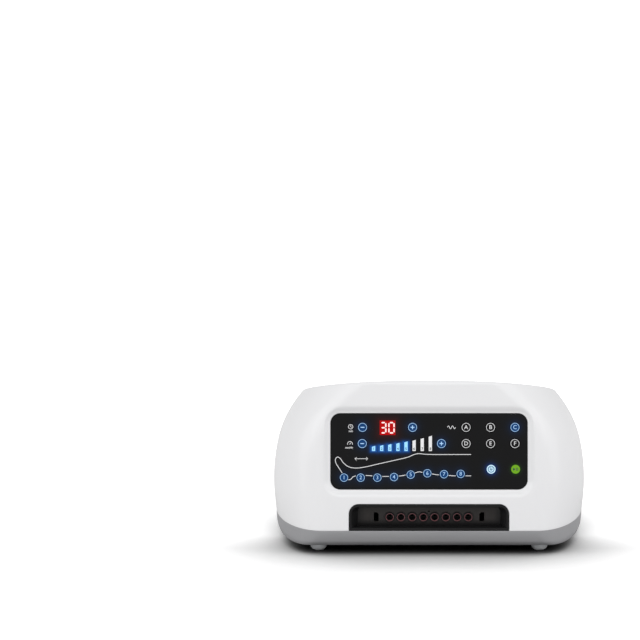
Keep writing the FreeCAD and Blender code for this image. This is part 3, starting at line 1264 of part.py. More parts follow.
rocker = body("rocker")
rocker_side = sketch(rocker, "YZ_Plane", "rocker_side", "-rocker_width/2")
polygon(rocker_side, (("rocker_rise", "-rocker_half"), ("rocker_rise - rocker_dip", "0"),
                      ("rocker_rise", "rocker_half"), ("0", "rocker_heel"),
                      ("0 - rocker_dip - rocker_belly", "0"), ("0", "-rocker_heel")))
pad(rocker, rocker_side, "rocker_width")
rocker.Placement = FreeCAD.Placement(V(), FreeCAD.Rotation(V(1, 0, 0), value("rocker_angle")))
bind(rocker, "Placement.Rotation.Angle", "rocker_angle")
place(rocker, "rocker_x", PIVOT_Y, MAINS)
axle = cylinder("rocker_axle", "rocker_pin", "bezel_width - 2*pin_inset",
                "rocker_x - bezel_width/2 + pin_inset", PIVOT_Y, MAINS, "X")
node(fuse("rocker_whole", [rocker, axle]), "mains_rocker")

SUPPLY_TOP = f"({FLOOR} + supply_post + board_thick)"
supply = box("supply", ("supply_x", "supply_x + supply_length"),
             (f"{FRONT} + supply_y", f"{FRONT} + supply_y + supply_depth"),
             (f"{FLOOR} + supply_post", SUPPLY_TOP))
stake_holes = [cylinder(f"stake_hole_{index}", "stake_radius + stake_gap", "board_thick + 2*past",
                        x, y, f"{FLOOR} + supply_post - past")
               for index, (x, y) in enumerate(SUPPLY_CORNERS)]
node(cut("supply_board", supply, stake_holes), "power_board")
TRANSFORMER_X = "(supply_x + supply_length/2 + transformer_shift)"
TRANSFORMER_Y = f"({FRONT} + supply_y + supply_depth/2)"
iron = box("iron", (f"{TRANSFORMER_X} - transformer_length/2", f"{TRANSFORMER_X} + transformer_length/2"),
           (f"{TRANSFORMER_Y} - iron_depth/2", f"{TRANSFORMER_Y} + iron_depth/2"),
           (SUPPLY_TOP, f"{SUPPLY_TOP} + transformer_height"))
bobbin = box("bobbin", (f"{TRANSFORMER_X} - bobbin_length/2", f"{TRANSFORMER_X} + bobbin_length/2"),
             (f"{TRANSFORMER_Y} - transformer_depth/2", f"{TRANSFORMER_Y} + transformer_depth/2"),
             (f"{SUPPLY_TOP} + bobbin_inset", f"{SUPPLY_TOP} + transformer_height - bobbin_inset"))
node(fuse("transformer_whole", [iron, bobbin]), "transformer")
capacitors = [cylinder(f"capacitor_{index}", "capacitor_radius", "capacitor_height",
                       "supply_x + capacitor_radius + capacitor_edge",
                       f"{TRANSFORMER_Y} + {sign}*(capacitor_radius + capacitor_gap)", SUPPLY_TOP)
              for index, sign in enumerate((-1, 1))]
node(together("capacitors", capacitors), "power_capacitors")


# ---------------------------------------------------------------- check and write

doc.recompute()
failed = [obj.Name for obj in doc.Objects if {"Invalid", "Error"} & set(obj.State)]
if failed:
    raise SystemExit(f"features that failed: {failed}")
for name, obj in nodes.items():
    if obj.Shape.isNull() or not obj.Shape.isValid():
        raise SystemExit(f"no valid shape: {name}")
os.makedirs("parts", exist_ok=True)
for name, obj in nodes.items():
    obj.Shape.exportStep(os.path.join("parts", f"{name}.step"))
print(len(nodes), "sub-parts")
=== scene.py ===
import math

import bmesh
import bpy
import numpy as np
from mathutils import Matrix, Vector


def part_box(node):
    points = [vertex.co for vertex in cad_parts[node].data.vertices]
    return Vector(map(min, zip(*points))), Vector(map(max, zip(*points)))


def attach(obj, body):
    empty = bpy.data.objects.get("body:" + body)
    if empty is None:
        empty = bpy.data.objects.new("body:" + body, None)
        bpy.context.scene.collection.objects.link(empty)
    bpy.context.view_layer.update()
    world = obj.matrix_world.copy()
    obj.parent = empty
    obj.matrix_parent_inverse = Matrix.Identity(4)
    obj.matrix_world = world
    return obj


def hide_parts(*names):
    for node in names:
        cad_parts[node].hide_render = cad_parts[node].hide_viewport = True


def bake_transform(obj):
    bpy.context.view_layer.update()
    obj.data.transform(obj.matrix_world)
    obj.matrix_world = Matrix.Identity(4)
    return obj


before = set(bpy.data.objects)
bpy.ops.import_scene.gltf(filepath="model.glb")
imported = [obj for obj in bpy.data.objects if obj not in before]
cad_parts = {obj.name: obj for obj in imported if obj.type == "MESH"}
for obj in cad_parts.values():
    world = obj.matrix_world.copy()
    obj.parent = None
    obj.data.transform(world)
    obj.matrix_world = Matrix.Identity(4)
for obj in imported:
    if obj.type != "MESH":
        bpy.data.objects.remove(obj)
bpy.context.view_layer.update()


# ---------------------------------------------------------------- top cover
# The glossy white cover is one injection moulding, 2.8 mm thick: a leaning flat front, swelling
# sides and an arched roof that falls to the back. Its front has a dished recess for the panel and
# an arched opening for the hose ports; the back has the air slots and a flat for the mains fittings.

LEAN = math.radians(14)
FALL = math.radians(15.5)
SPLIT, FRONT, WIDEST_Y = 25.0, -100.0, -5.0  # split line's height, front there, widest place
WALL = 2.8
ROOF_RADIUS, ROOF_PEAK, ROOF_SETBACK, ROOF_EDGE = 1240.0, 170.0, 40.0, 5.0
# rise over the split line, half width, back, half length of the straight front
STATIONS = np.array([(0, 153, 99.6, 107), (25, 155.5, 100, 107), (55, 154, 98.5, 107),
                     (87, 146, 89, 104), (115, 129, 68, 92), (151, 98, 26, 50)], float)
PANEL_UP = 79.4  # middle of the panel, up the leaning front from the split line
LENS = np.array([98.3, 38.0, 9.7])  # half length, half height, corner radius

FRONT_COLUMNS, END_COLUMNS = 163, 46  # of the mesh, along the flat front and round each end
straight = np.linspace(-1, 1, FRONT_COLUMNS)
swell = np.linspace(0, math.pi / 2, END_COLUMNS + 1)[1:]
ACROSS = np.r_[-np.ones(END_COLUMNS), straight, np.ones(END_COLUMNS)]
TURN = np.r_[-swell[::-1], np.zeros(FRONT_COLUMNS), swell]
SIDE_COLUMNS = len(ACROSS)
ACROSS = np.r_[ACROSS, ACROSS[-2:0:-1]]
TURN = np.r_[TURN, TURN[-2:0:-1]]
BEHIND = np.arange(len(ACROSS)) >= SIDE_COLUMNS


def through(knots, values, at):
    """Natural cubic spline: on each span the chord plus h^2/6 * (((1-t)^3 - (1-t)) m0 + (t^3 - t) m1),
    where the second derivatives m solve the usual tridiagonal equations."""
    h, n = np.diff(knots), len(knots)
    left = np.eye(n)
    right = np.zeros(n)
    inner = np.arange(1, n - 1)
    left[inner, inner - 1] = h[:-1]
    left[inner, inner] = 2 * (h[:-1] + h[1:])
    left[inner, inner + 1] = h[1:]
    right[inner] = 6 * np.diff(np.diff(values) / h)
    bend = np.linalg.solve(left, right)
    k = np.clip(np.searchsorted(knots, at) - 1, 0, n - 2)
    t = (at - knots[k]) / h[k]
    return (values[k] * (1 - t) + values[k + 1] * t
            + h[k] ** 2 / 6 * (((1 - t) ** 3 - (1 - t)) * bend[k] + (t ** 3 - t) * bend[k + 1]))


def cover_wall(rise, inset=0.0):
    """Side wall of the cover. Each column is a place along the plan outline: x = across * flat +
    (half - flat) * sin(turn), y runs from the widest place to the front or back by cos(turn)."""
    half, back, flat = (through(STATIONS[:, 0], STATIONS[:, k], rise) for k in (1, 2, 3))
    front = FRONT + rise * math.tan(LEAN) + inset / math.cos(LEAN)
    end = np.where(BEHIND, back - inset, front)
    x = ACROSS * flat + (half - inset - flat) * np.sin(TURN)
    y = WIDEST_Y + (end - WIDEST_Y) * np.cos(TURN)
    return np.stack([x, y, SPLIT + rise + 0 * x], -1)


def roof(x, y, drop=0.0):
    """Height of the roof: the peak, less the fall behind the set-back, less the sag of its arch."""
    return (ROOF_PEAK + (ROOF_SETBACK - (y - FRONT)) * math.tan(FALL)
            - ROOF_RADIUS + np.sqrt(ROOF_RADIUS ** 2 - x ** 2) - drop)


def roof_crossing(inset, drop):
    """Rise at which each column of the wall meets the roof, by halving."""
    low, high = np.full(len(ACROSS), 50.0), np.full(len(ACROSS), STATIONS[-1, 0])
    for _ in range(40):
        middle = (low + high) / 2
        p = cover_wall(middle, inset)
        over = p[:, 2] > roof(p[:, 0], p[:, 1], drop)
        low, high = np.where(over, low, middle), np.where(over, middle, high)
    return low


def unit(v):
    """Vectors divided by their lengths."""
    return v / np.linalg.norm(v, axis=-1, keepdims=True)


def face_frame(p):
    """Height up the leaning front and distance out of it, for points in millimetres."""
    dy, dz = p[..., 1] - FRONT, p[..., 2] - SPLIT
    return (dy * math.sin(LEAN) + dz * math.cos(LEAN), -dy * math.cos(LEAN) + dz * math.sin(LEAN))


def off_plate(x, up, half_x, half_y, corner):
    """Distance outside a rounded rectangle, and how much of that distance is upward."""
    qx, qy = np.abs(x) - half_x + corner, np.abs(up) - half_y + corner
    far = np.hypot(np.maximum(qx, 0), np.maximum(qy, 0))
    share = np.maximum(qy, 0) / np.maximum(far, 1e-9)
    return far - corner + np.minimum(np.maximum(qx, qy), 0), share


DISH_MARGIN, DISH_DEPTH, DISH_WIDTH = 0.9, 4, 6.6
DISH_BEND, DISH_LIP, DISH_REACH = 14, 0.7, 12  # how sharply it bends, softness of its lip, its limit


def dished(p):
    """Sinks the recess of the panel: the smooth minimum of the wall and a slope that climbs from
    4 mm deep, 0.9 mm outside the lens, to the surface 6.6 mm farther out, or 5.6 mm farther over
    and under the lens. The slope is depth * (log(1 + exp(bend * ramp)) / bend - 1)."""
    up, out = face_frame(p)
    away, share = off_plate(p[..., 0], up - PANEL_UP, *(LENS + DISH_MARGIN))
    ramp = away / (DISH_WIDTH - share ** 2)
    slope = DISH_DEPTH * (np.logaddexp(ramp * DISH_BEND, 0) / DISH_BEND - 1)
    near = np.maximum(DISH_LIP - np.abs(slope - out), 0) / DISH_LIP
    sunk = np.minimum(slope, out) - near ** 2 * DISH_LIP / 4
    shift = np.where((p[..., 1] < WIDEST_Y) & (away < DISH_REACH), sunk - out, 0)
    normal = np.array([0, -math.cos(LEAN), math.sin(LEAN)])
    return p + shift[..., None] * normal


def skin(grid, wrap_rows=False, wrap_columns=True, caps=False):
    """Points and faces of a grid: a quad between each four neighbours. Wrapping closes a
    direction on itself, and caps close the first and last row with one polygon each."""
    rows, columns = grid.shape[:2]
    index = np.arange(rows * columns).reshape(rows, columns)
    ends = [index[0, ::-1].tolist(), index[-1].tolist()] if caps else []
    if wrap_rows:
        index = np.vstack([index, index[:1]])
    if wrap_columns:
        index = np.hstack([index, index[:, :1]])
    quads = np.stack([index[:-1, :-1], index[:-1, 1:], index[1:, 1:], index[1:, :-1]], -1)
    return grid.reshape(-1, 3), quads.reshape(-1, 4).tolist() + ends


def solid_mesh(name, parts, weld=1e-6):
    """One mesh, in metres, from parts in millimetres, welded, with its faces turned outward."""
    points, faces, start = [], [], 0
    for p, f in parts:
        points.append(np.asarray(p, float).reshape(-1, 3))
        faces += [[i + start for i in face] for face in f]
        start += len(points[-1])
    mesh = bpy.data.meshes.new(name)
    mesh.from_pydata(np.vstack(points) * 0.001, [], faces)
    work = bmesh.new()
    work.from_mesh(mesh)
    bmesh.ops.remove_doubles(work, verts=work.verts, dist=weld)
    bmesh.ops.recalc_face_normals(work, faces=work.faces)
    work.to_mesh(mesh)
    work.free()
    return mesh


def carved(mesh, tool, how="DIFFERENCE"):
    """mesh with tool taken away, or joined to it."""
    held, cutter = bpy.data.objects.new("held", mesh), bpy.data.objects.new("cutter", tool)
    for o in (held, cutter):
        bpy.context.scene.collection.objects.link(o)
    step = held.modifiers.new("cut", "BOOLEAN")
    step.operation, step.object, step.solver = how, cutter, "MANIFOLD"
    bpy.context.view_layer.update()
    made = bpy.data.meshes.new_from_object(held.evaluated_get(bpy.context.evaluated_depsgraph_get()))
    made.name = mesh.name
    for o in (held, cutter):
        bpy.data.objects.remove(o)
    return made


FOOT_EDGE = 0.5  # radius of the cover's lowest edge
OVERLAP = 2  # how far the cavity reaches under the split line


def cover_block(inset, drop, rows, roof_rows, rounded):
    """Closed block of the cover's form: the wall from the split line up, a rolled edge where it
    meets the roof, and the roof as straight lines in plan from its front edge to its back edge.
    The roll is a rational quadratic curve, which is a circle's arc. A block that isn't rounded has
    plain edges and starts under the split line."""
    crossing = roof_crossing(inset, drop)
    edge = cover_wall(crossing, inset)
    if rounded:
        # up the wall and inward along the roof, at the edge where they would meet
        up = unit(edge - cover_wall(crossing - 0.5, inset))
        run = np.roll(edge, -1, 0) - np.roll(edge, 1, 0)
        inward = unit(np.stack([-run[:, 1], run[:, 0]], -1))
        steep = -edge[:, 0] / np.sqrt(ROOF_RADIUS ** 2 - edge[:, 0] ** 2)
        over = unit(np.c_[inward, steep * inward[:, 0] - math.tan(FALL) * inward[:, 1]])
        half = np.arccos(np.clip(-(up * over).sum(-1), -1, 1)) / 2
        reach = (ROOF_EDGE / np.tan(half))[:, None]
        top = crossing - reach[:, 0] * up[:, 2]
        start, stop = cover_wall(top, inset), edge + over * reach
        stop[:, 2] = roof(stop[:, 0], stop[:, 1], drop)
        t = np.linspace(0, 1, 9)[1:, None, None]
        w = np.sin(half)[:, None]
        roll = (((1 - t) ** 2 * start + 2 * t * (1 - t) * w * edge + t ** 2 * stop)
                / ((1 - t) ** 2 + 2 * t * (1 - t) * w + t ** 2))
        lip = np.linspace(0, math.pi / 2, 5)
        foot = np.stack([cover_wall(FOOT_EDGE * (1 - math.cos(a)), FOOT_EDGE * (1 - math.sin(a)))
                         for a in lip[:-1]])
        wall = np.stack([cover_wall(FOOT_EDGE + v * (top - FOOT_EDGE)) for v in np.linspace(0, 1, rows)])
        side = dished(np.concatenate([foot, wall, roll]))
    else:
        side = np.stack([cover_wall(-OVERLAP + v * (crossing + OVERLAP), inset)
                         for v in np.linspace(0, 1, rows)])
    ahead = side[-1, :SIDE_COLUMNS]
    behind = np.roll(side[-1, ::-1], 1, 0)[:SIDE_COLUMNS]
    t = np.linspace(0, 1, roof_rows)[:, None, None]
    lid = (1 - t) * ahead + t * behind
    lid[..., 2] = roof(lid[..., 0], lid[..., 1], drop)
    lid[0], lid[-1] = ahead, behind
    points, faces = skin(side)
    bottom = np.arange(side.shape[1])[::-1].tolist()
    return solid_mesh("cover", [(points, faces + [bottom]), skin(lid, wrap_columns=False)], 2e-6)


def round_plate(half_x, half_y, corner, steps=14):
    """Outline of a rounded rectangle: each corner is centre + radius * (cos, sin)."""
    a = (np.arange(4)[:, None] + np.linspace(0, 1, steps)) * math.pi / 2
    cx = np.array([1, -1, -1, 1])[:, None] * (half_x - corner)
    cy = np.array([1, 1, -1, -1])[:, None] * (half_y - corner)
    return np.stack([cx + corner * np.cos(a), cy + corner * np.sin(a)], -1).reshape(-1, 2)


def bay_arch(half, low, high, corner, steps=14):
    """Outline with two square feet and two rounded upper corners, in x and z."""
    a = np.linspace(0, math.pi / 2, steps)
    right = np.stack([half - corner + corner * np.cos(a), high - corner + corner * np.sin(a)], -1)
    left = np.stack([-half + corner - corner * np.cos(a), high - corner + corner * np.sin(a)], -1)[::-1]
    return np.vstack([[(-half, low), (0, low), (half, low)], right, left])


def on_panel(x, up, out):
    """Points in millimetres, from place across and up the panel and distance out of the front face."""
    s = np.asarray(up, float) + PANEL_UP
    return np.stack(np.broadcast_arrays(
        np.asarray(x, float), FRONT + s * math.sin(LEAN) - out * math.cos(LEAN),
        SPLIT + s * math.cos(LEAN) + out * math.sin(LEAN)), -1)


def panel_block(outlines, outs):
    """Closed block on the panel from outlines at several distances out of the face."""
    return skin(np.stack([on_panel(o[:, 0], o[:, 1], out) for o, out in zip(outlines, outs)]), caps=True)


def upright(outlines, depths, leaning):
    """Closed block along Y from outlines in x and z; where leaning is set, the depth counts from
    the leaning front instead of from the middle of the part."""
    rings = []
    for o, depth, lean in zip(outlines, depths, leaning):
        y = depth + lean * (FRONT + (o[:, 1] - SPLIT) * math.tan(LEAN))
        rings.append(np.stack([o[:, 0], y, o[:, 1]], -1))
    return skin(np.stack(rings), caps=True)


def block(x0, x1, y0, y1, z0, z1):
    """Square block between two corners."""
    ring = np.array([(x0, y0), (x1, y0), (x1, y1), (x0, y1)], float)
    return skin(np.stack([np.c_[ring, np.full(4, z)] for z in (z0, z1)]), caps=True)


def rod(x, y, z0, z1, radius, steps=32):
    """Upright round block."""
    a = np.arange(steps) * 2 * math.pi / steps
    ring = np.stack([x + radius * np.cos(a), y + radius * np.sin(a)], -1)
    return skin(np.stack([np.c_[ring, np.full(steps, z)] for z in (z0, z1)]), caps=True)


def node_tree(owner):
    """Returns a function that adds a node to the tree, sets its inputs, and links those that are
    given as a (node, socket) pair."""
    nodes, links = owner.nodes, owner.links

    def add(kind, values=None, **settings):
        node = nodes.new(kind)
        for key, value in settings.items():
            setattr(node, key, value)
        for key, value in (values or {}).items():
            if isinstance(value, tuple) and len(value) == 2 and hasattr(value[0], "bl_idname"):
                links.new(value[0].outputs[value[1]], node.inputs[key])
            else:
                node.inputs[key].default_value = value
        return node

    return add


def new_group(name, inputs, outputs):
    """Shader node group with named sockets; returns the tree, its adder and its input node."""
    tree = bpy.data.node_groups.new(name, "ShaderNodeTree")
    for label, kind, value in inputs:
        socket = tree.interface.new_socket(label, in_out="INPUT", socket_type="NodeSocket" + kind)
        socket.default_value = value
    for label, kind in outputs:
        tree.interface.new_socket(label, in_out="OUTPUT", socket_type="NodeSocket" + kind)
    add = node_tree(tree)
    return tree, add, add("NodeGroupInput")


def srgb(red, green, blue):
    """Linear colour of an 8-bit one."""
    c = np.array([red, green, blue]) / 255
    return (*np.where(c <= 0.04045, c / 12.92, ((c + 0.055) / 1.055) ** 2.4).tolist(), 1.0)


# Moulded surface: slow clouds tint the colour and the gloss, a fine noise is the mould's grain.
moulded, add, given = new_group("moulded_surface", [
    ("Colour", "Color", (0.8, 0.8, 0.8, 1)), ("Clouded", "Color", (0.7, 0.7, 0.7, 1)),
    ("Gloss", "Float", 0.3), ("Gloss Spread", "Float", 0.05), ("Cloud Scale", "Float", 20.0),
    ("Grain Scale", "Float", 800.0)], [("Colour", "Color"), ("Roughness", "Float"), ("Height", "Float")])
place = add("ShaderNodeTexCoord")
cloud = add("ShaderNodeTexNoise", {"Vector": (place, "Object"), "Scale": (given, "Cloud Scale"),
                                   "Detail": 3.0, "Roughness": 0.5})
grain = add("ShaderNodeTexNoise", {"Vector": (place, "Object"), "Scale": (given, "Grain Scale"),
                                   "Detail": 2.0, "Roughness": 0.6})
tint = add("ShaderNodeMix", {0: (cloud, "Fac"), 6: (given, "Colour"), 7: (given, "Clouded")},
           data_type="RGBA")
off = add("ShaderNodeMath", {0: (cloud, "Fac"), 1: 0.5}, operation="SUBTRACT")
gloss = add("ShaderNodeMath", {0: (off, 0), 1: (given, "Gloss Spread"), 2: (given, "Gloss")},
            operation="MULTIPLY_ADD")
add("NodeGroupOutput", {"Colour": (tint, 2), "Roughness": (gloss, 0), "Height": (grain, "Fac")})


GRAIN_HEIGHT = 0.0004  # metres, at full relief


def moulding(name, colour, clouded, rough, spread=0.06, cloud=18.0, grain=900.0, relief=0.02, **shader):
    """Material of a moulded, cast or turned piece on the moulded_surface group."""
    made = bpy.data.materials.new(name)
    made.use_nodes = True
    add = node_tree(made.node_tree)
    base = made.node_tree.nodes["Principled BSDF"]
    group = add("ShaderNodeGroup", node_tree=moulded)
    for label, value in (("Colour", colour), ("Clouded", clouded), ("Gloss", rough),
                         ("Gloss Spread", spread), ("Cloud Scale", cloud), ("Grain Scale", grain)):
        group.inputs[label].default_value = value
    bump = add("ShaderNodeBump", {"Strength": relief, "Distance": GRAIN_HEIGHT,
                                  "Height": (group, "Height")})
    made.node_tree.links.new(group.outputs["Colour"], base.inputs["Base Color"])
    made.node_tree.links.new(group.outputs["Roughness"], base.inputs["Roughness"])
    made.node_tree.links.new(bump.outputs["Normal"], base.inputs["Normal"])
    for label, value in shader.items():
        base.inputs[label.replace("_", " ")].default_value = value
    return made


def piece(name, mesh, materials, body="console", replaces=(), crease=32):
    """Object of the part: smooth but for its creases, on its body if one is given, with its finish's slot
    and the CAD nodes it stands for."""
    made = bpy.data.objects.new(name, mesh)
    bpy.context.scene.collection.objects.link(made)
    mesh.materials.clear()
    for m in materials:
        mesh.materials.append(m)
    mesh.shade_smooth()
    mesh.set_sharp_from_angle(angle=math.radians(crease))
    if body:
        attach(made, body)
    if replaces:
        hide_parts(*replaces)
    return made


cover = cover_block(0.0, 0.0, 104, 42, True)
cavity = cover_block(WALL, WALL / math.cos(FALL), 18, 10, False)
# left solid inside: the frame behind the panel and the pad behind the mains fittings
panel_frame = panel_block([round_plate(110.6, 49.3, 3)] * 2, (-8.4, 20))
mains_pad = block(24, 104, 94.8, 130, 32, 72)
for solid in (panel_frame, mains_pad):
    cavity = carved(cavity, solid_mesh("solid", [solid]))
cover = carved(cover, cavity)
SLOTS_X, SLOT_WIDTH = -95 + 6.0 * np.arange(13), 2.6
seat = [round_plate(*(LENS + gap)) for gap in (0.125, 0.125, 0.3, 0.3)]
mouth = [bay_arch(80.05 + gap, 20, 50.85 + gap, 9.75 + gap) for gap in (0.8, 0.5, 0, 0)]
openings = {"lens_seat": [panel_block(seat, (-5.6, -4.3, -4.0, 3))],
            "window": [panel_block([round_plate(94, 33.7, 5.4)] * 2, (-12, -5))],
            "bay_mouth": [upright(mouth, (-4, 0, 0.5, 13.0), (1, 1, 1, 1))],
            "mains_flat": [block(27, 101, 98, 130, 35, 69)],
            "fitting_holes": [block(64.25, 91.75, 90, 99, 41.95, 62.05),
                              block(36.25, 49.75, 90, 99, 41.75, 62.25)],
            "air_slots": [block(x, x + SLOT_WIDTH, 80, 130, 41, 75) for x in SLOTS_X]}
for name, cuts in openings.items():
    cover = carved(cover, solid_mesh(name, cuts))
white = moulding("white_gloss_cover", srgb(237, 237, 238), srgb(233, 233, 235), 0.3, 0.08, 9, 260, 0.02,
                 Coat_Weight=0.4, Coat_Roughness=0.03)
piece("cover_skin", cover, [white], replaces=["top_cover"], crease=28)


# ---------------------------------------------------------------- base tray
# The grey tray closes the underside. It is a thinner, matt moulding whose edge rolls under to a
# flat bottom, with wells for the four screws that hold it to the cover.

def tray_wall(z, inset, side, flat):
    """Wall of the tray at a height: the plan outline of the cover's foot, its front and back moved
    in by inset, its sides by side, with a straight front of half length flat."""
    half, back = STATIONS[0, 1] - side, STATIONS[0, 2] - inset
    end = np.where(BEHIND, back, FRONT + inset)
    x = ACROSS * flat + (half - flat) * np.sin(TURN)
    y = WIDEST_Y + (end - WIDEST_Y) * np.cos(TURN)
    return np.stack([x, y, z + 0 * x], -1)


def hermite(t, p0, p1, m0, m1):
    """Cubic from p0 to p1 with end slopes m0 and m1."""
    return ((2 * t ** 3 - 3 * t ** 2 + 1) * p0 + (t ** 3 - 2 * t ** 2 + t) * m0
            + (3 * t ** 2 - 2 * t ** 3) * p1 + (t ** 3 - t ** 2) * m1)


# each level: height, inset of the front and back, inset of the sides, half length of the front
t = np.linspace(0, 1, 12)
levels = [(25.0, 0.5, 0.5, 107), (24.93, 0.25, 0.25, 107), (24.75, 0.07, 0.07, 107)]
levels += list(zip(24.5 - 10.5 * t, hermite(t, 0, 2.2, 0, 4.4), hermite(t, 0, 0.8, 0, 1.4),
                   hermite(t, 107, 112, 0, 8.4)))
t = t[1:]
levels += list(zip(14 - 5.2 * t, hermite(t, 2.2, 8.0, 2.2, 8.5), hermite(t, 0.8, 2.9, 0.7, 3.0),
                   hermite(t, 112, 118.4, 4.2, 6.0)))
levels += [(8.5, 8.7, 3.2, 118.8), (8.28, 9.2, 3.6, 119), (8.2, 9.8, 4.2, 119)]
tray = solid_mesh("tray", [skin(np.stack([tray_wall(*level) for level in levels[::-1]]), caps=True)])
levels = [(11.2, 11.6, 5.8, 119), (17, 4.8, 3.4, 112), (24, 2.6, 2.6, 107), (27, 2.6, 2.6, 107)]
hollow = solid_mesh("hollow", [skin(np.stack([tray_wall(*level)[::4] for level in levels]), caps=True)])
tray = carved(tray, hollow)
CASE_SCREWS = [(sx * x, y) for x, y in ((125, -50), (118, 60)) for sx in (-1, 1)]
FEET = [(sx * x, y) for x, y in ((110.3, -75), (105, 65)) for sx in (-1, 1)]
POST, WELL = 4.6, 3.3  # radii
posts = solid_mesh("posts", [rod(x, y, 9.2, 30, POST) for x, y in CASE_SCREWS])
wells = solid_mesh("wells", [rod(x, y, 5, 15.2, WELL) for x, y in CASE_SCREWS])
tray = carved(carved(tray, posts, "UNION"), wells)
grey = moulding("grey_matt_tray", srgb(158, 158, 160), srgb(150, 150, 153), 0.48, 0.06, 14, 1200, 0.12)
piece("tray_skin", tray, [grey], replaces=["base_tray"], crease=30)


# ---------------------------------------------------------------- rubber feet
# Four round moulded feet of grey rubber stand under the tray. Each is held by a screw that sits
# in a well of its sole.

def turned(profile, steps=48, closed=False):
    """Surface turned about Z: each ring is radius * (cos, sin) at its height. A closed profile
    runs round a bore; an open one is closed by its first and last ring."""
    profile = np.asarray(profile, float)
    a = np.arange(steps) * 2 * math.pi / steps
    r, z = profile[:, :1], profile[:, 1:]
    grid = np.stack([r * np.cos(a), r * np.sin(a), z + 0 * a], -1)
    return skin(grid, wrap_rows=closed, caps=not closed)


foot = [(1.7, 8.2), (1.7, 3.6), (3.0, 3.6), (3.3, 3.3), (3.3, 0.25), (3.5, 0), (4.3, 0), (5.5, 0.5),
        (6.6, 1.35), (7.5, 2.5), (8.1, 3.9), (8.38, 5.4), (8.4, 8.2)]
points, faces = turned(foot, closed=True)
feet = solid_mesh("feet", [(points + np.array([x, y, 0]), faces) for x, y in FEET])
rubber = moulding("grey_rubber_foot", srgb(232, 234, 236), srgb(218, 220, 223), 0.4, 0.1, 60, 1500, 0.15)
piece("foot_rubbers", feet, [rubber], replaces=["rubber_feet"], crease=40)


# ---------------------------------------------------------------- port bay
# The black moulded insert sits in the arched opening. Its rim follows the leaning front, its ends
# splay inward to the wall that holds the eight sockets, two latch slots and a small vent hole.

BAY_WALL = -87
rim = [bay_arch(79.8, 25, 50.6, 9.5), bay_arch(79.8, 25, 50.6, 9.5), bay_arch(79.4, 25.4, 50.2, 9.1),
       bay_arch(77.6, 27.2, 48.4, 7.3), bay_arch(77.1, 27.7, 47.9, 6.8), bay_arch(71.1, 27.7, 47.9, 6.8)]
bay = solid_mesh("bay", [upright(rim, (-83, 0.4, 0, 0, 0.5, BAY_WALL), (0, 1, 1, 1, 1, 0))])


def through_wall(outline):
    """Block along Y through the bay's wall, from an outline in x and z."""
    return upright([outline, outline], (BAY_WALL - 3, BAY_WALL + 7), (0, 0))


def circle(x, z, radius, steps=40):
    """Points round a circle: radius * (cos, sin) of equal steps."""
    a = np.arange(steps) * 2 * math.pi / steps
    return np.stack([x + radius * np.cos(a), z + radius * np.sin(a)], -1)


PORTS_X, PORTS_Z, LATCHES_X = 11.2 * (np.arange(8) - 3.5), 36.3, 52.7
holes = [through_wall(circle(x, PORTS_Z, 5.0)) for x in PORTS_X] + [through_wall(circle(0, 42, 0.9, 16))]
bay = carved(bay, solid_mesh("socket_holes", holes))
latch = np.array([(-2.45, -4.7), (2.45, -4.7), (2.45, 2.9), (0.65, 4.7), (-2.45, 4.7)])
for side in (-1, 1):
    hook = through_wall(latch * (-side, 1) + (side * LATCHES_X, PORTS_Z))
    bay = carved(bay, solid_mesh("latch_slot", [hook]))
black = moulding("black_bay_plastic", srgb(24, 24, 25), srgb(17, 17, 18), 0.34, 0.08, 25, 700, 0.06,
                 Specular_IOR_Level=0.2)
# painted light: the wall round the sockets is painted a greyer black, as if lit, and painted shade takes it
# back to the plain black over 5 mm above the floor and over 8 mm from each end
add = node_tree(black.node_tree)
shell = black.node_tree.nodes["Principled BSDF"]
smooth = shell.inputs["Base Color"].links[0].from_node
place = add("ShaderNodeSeparateXYZ", {0: (add("ShaderNodeTexCoord"), "Object")})
aside = add("ShaderNodeMath", {0: (place, "X")}, operation="ABSOLUTE")
deep = add("ShaderNodeMapRange", {0: (place, "Y"), 1: (BAY_WALL - 1) / 1000, 2: (BAY_WALL - 0.2) / 1000})
above = add("ShaderNodeMapRange", {0: (place, "Z"), 1: 0.029, 2: 0.034})
within = add("ShaderNodeMapRange", {0: (aside, 0), 1: 0.072, 2: 0.064})
painted_light_field = add("ShaderNodeMath", {0: (deep, 0), 1: (above, 0)}, operation="MULTIPLY")
painted_light_field = add("ShaderNodeMath", {0: (painted_light_field, 0), 1: (within, 0)}, operation="MULTIPLY")
painted_light_tone = add("ShaderNodeMix", {0: (painted_light_field, 0), 6: (smooth, "Colour"), 7: srgb(50, 47, 46)}, data_type="RGBA")
black.node_tree.links.new(painted_light_tone.outputs[2], shell.inputs["Base Color"])
piece("bay_insert", bay, [black], replaces=["port_bay"], crease=30)


# ---------------------------------------------------------------- sockets and seals
# Eight round black mouldings stand in the bay's wall. Each takes the stub of a hose plug, has a
# spigot behind for its inner tube, and holds a red rubber ring in its mouth.

socket = [(4.15, 0), (4.6, 0), (4.9, 0.3), (4.9, 6.1), (5.4, 6.1), (5.4, 7.5), (4.3, 7.5), (4.3, 11.4),
          (2.6, 11.4), (2.6, 19.4), (1.6, 19.4), (1.6, 10.4), (3.3, 10.4), (3.3, 1.4), (4.15, 1.4)]
seal = [(3.4, 0.35), (3.48, 0.1), (3.75, 0.0), (4.02, 0.1), (4.1, 0.35), (4.1, 1.4), (3.4, 1.4)]
PROUD = 2  # how far a socket stands out of the bay's wall


def in_wall(profile):
    """Eight copies of a turned form whose axis points into the console."""
    points, faces = turned(profile, 40, True)
    points = np.stack([points[:, 0], points[:, 2] + BAY_WALL - PROUD, points[:, 1] + PORTS_Z], -1)
    return [(points + np.array([x, 0, 0]), faces) for x in PORTS_X]


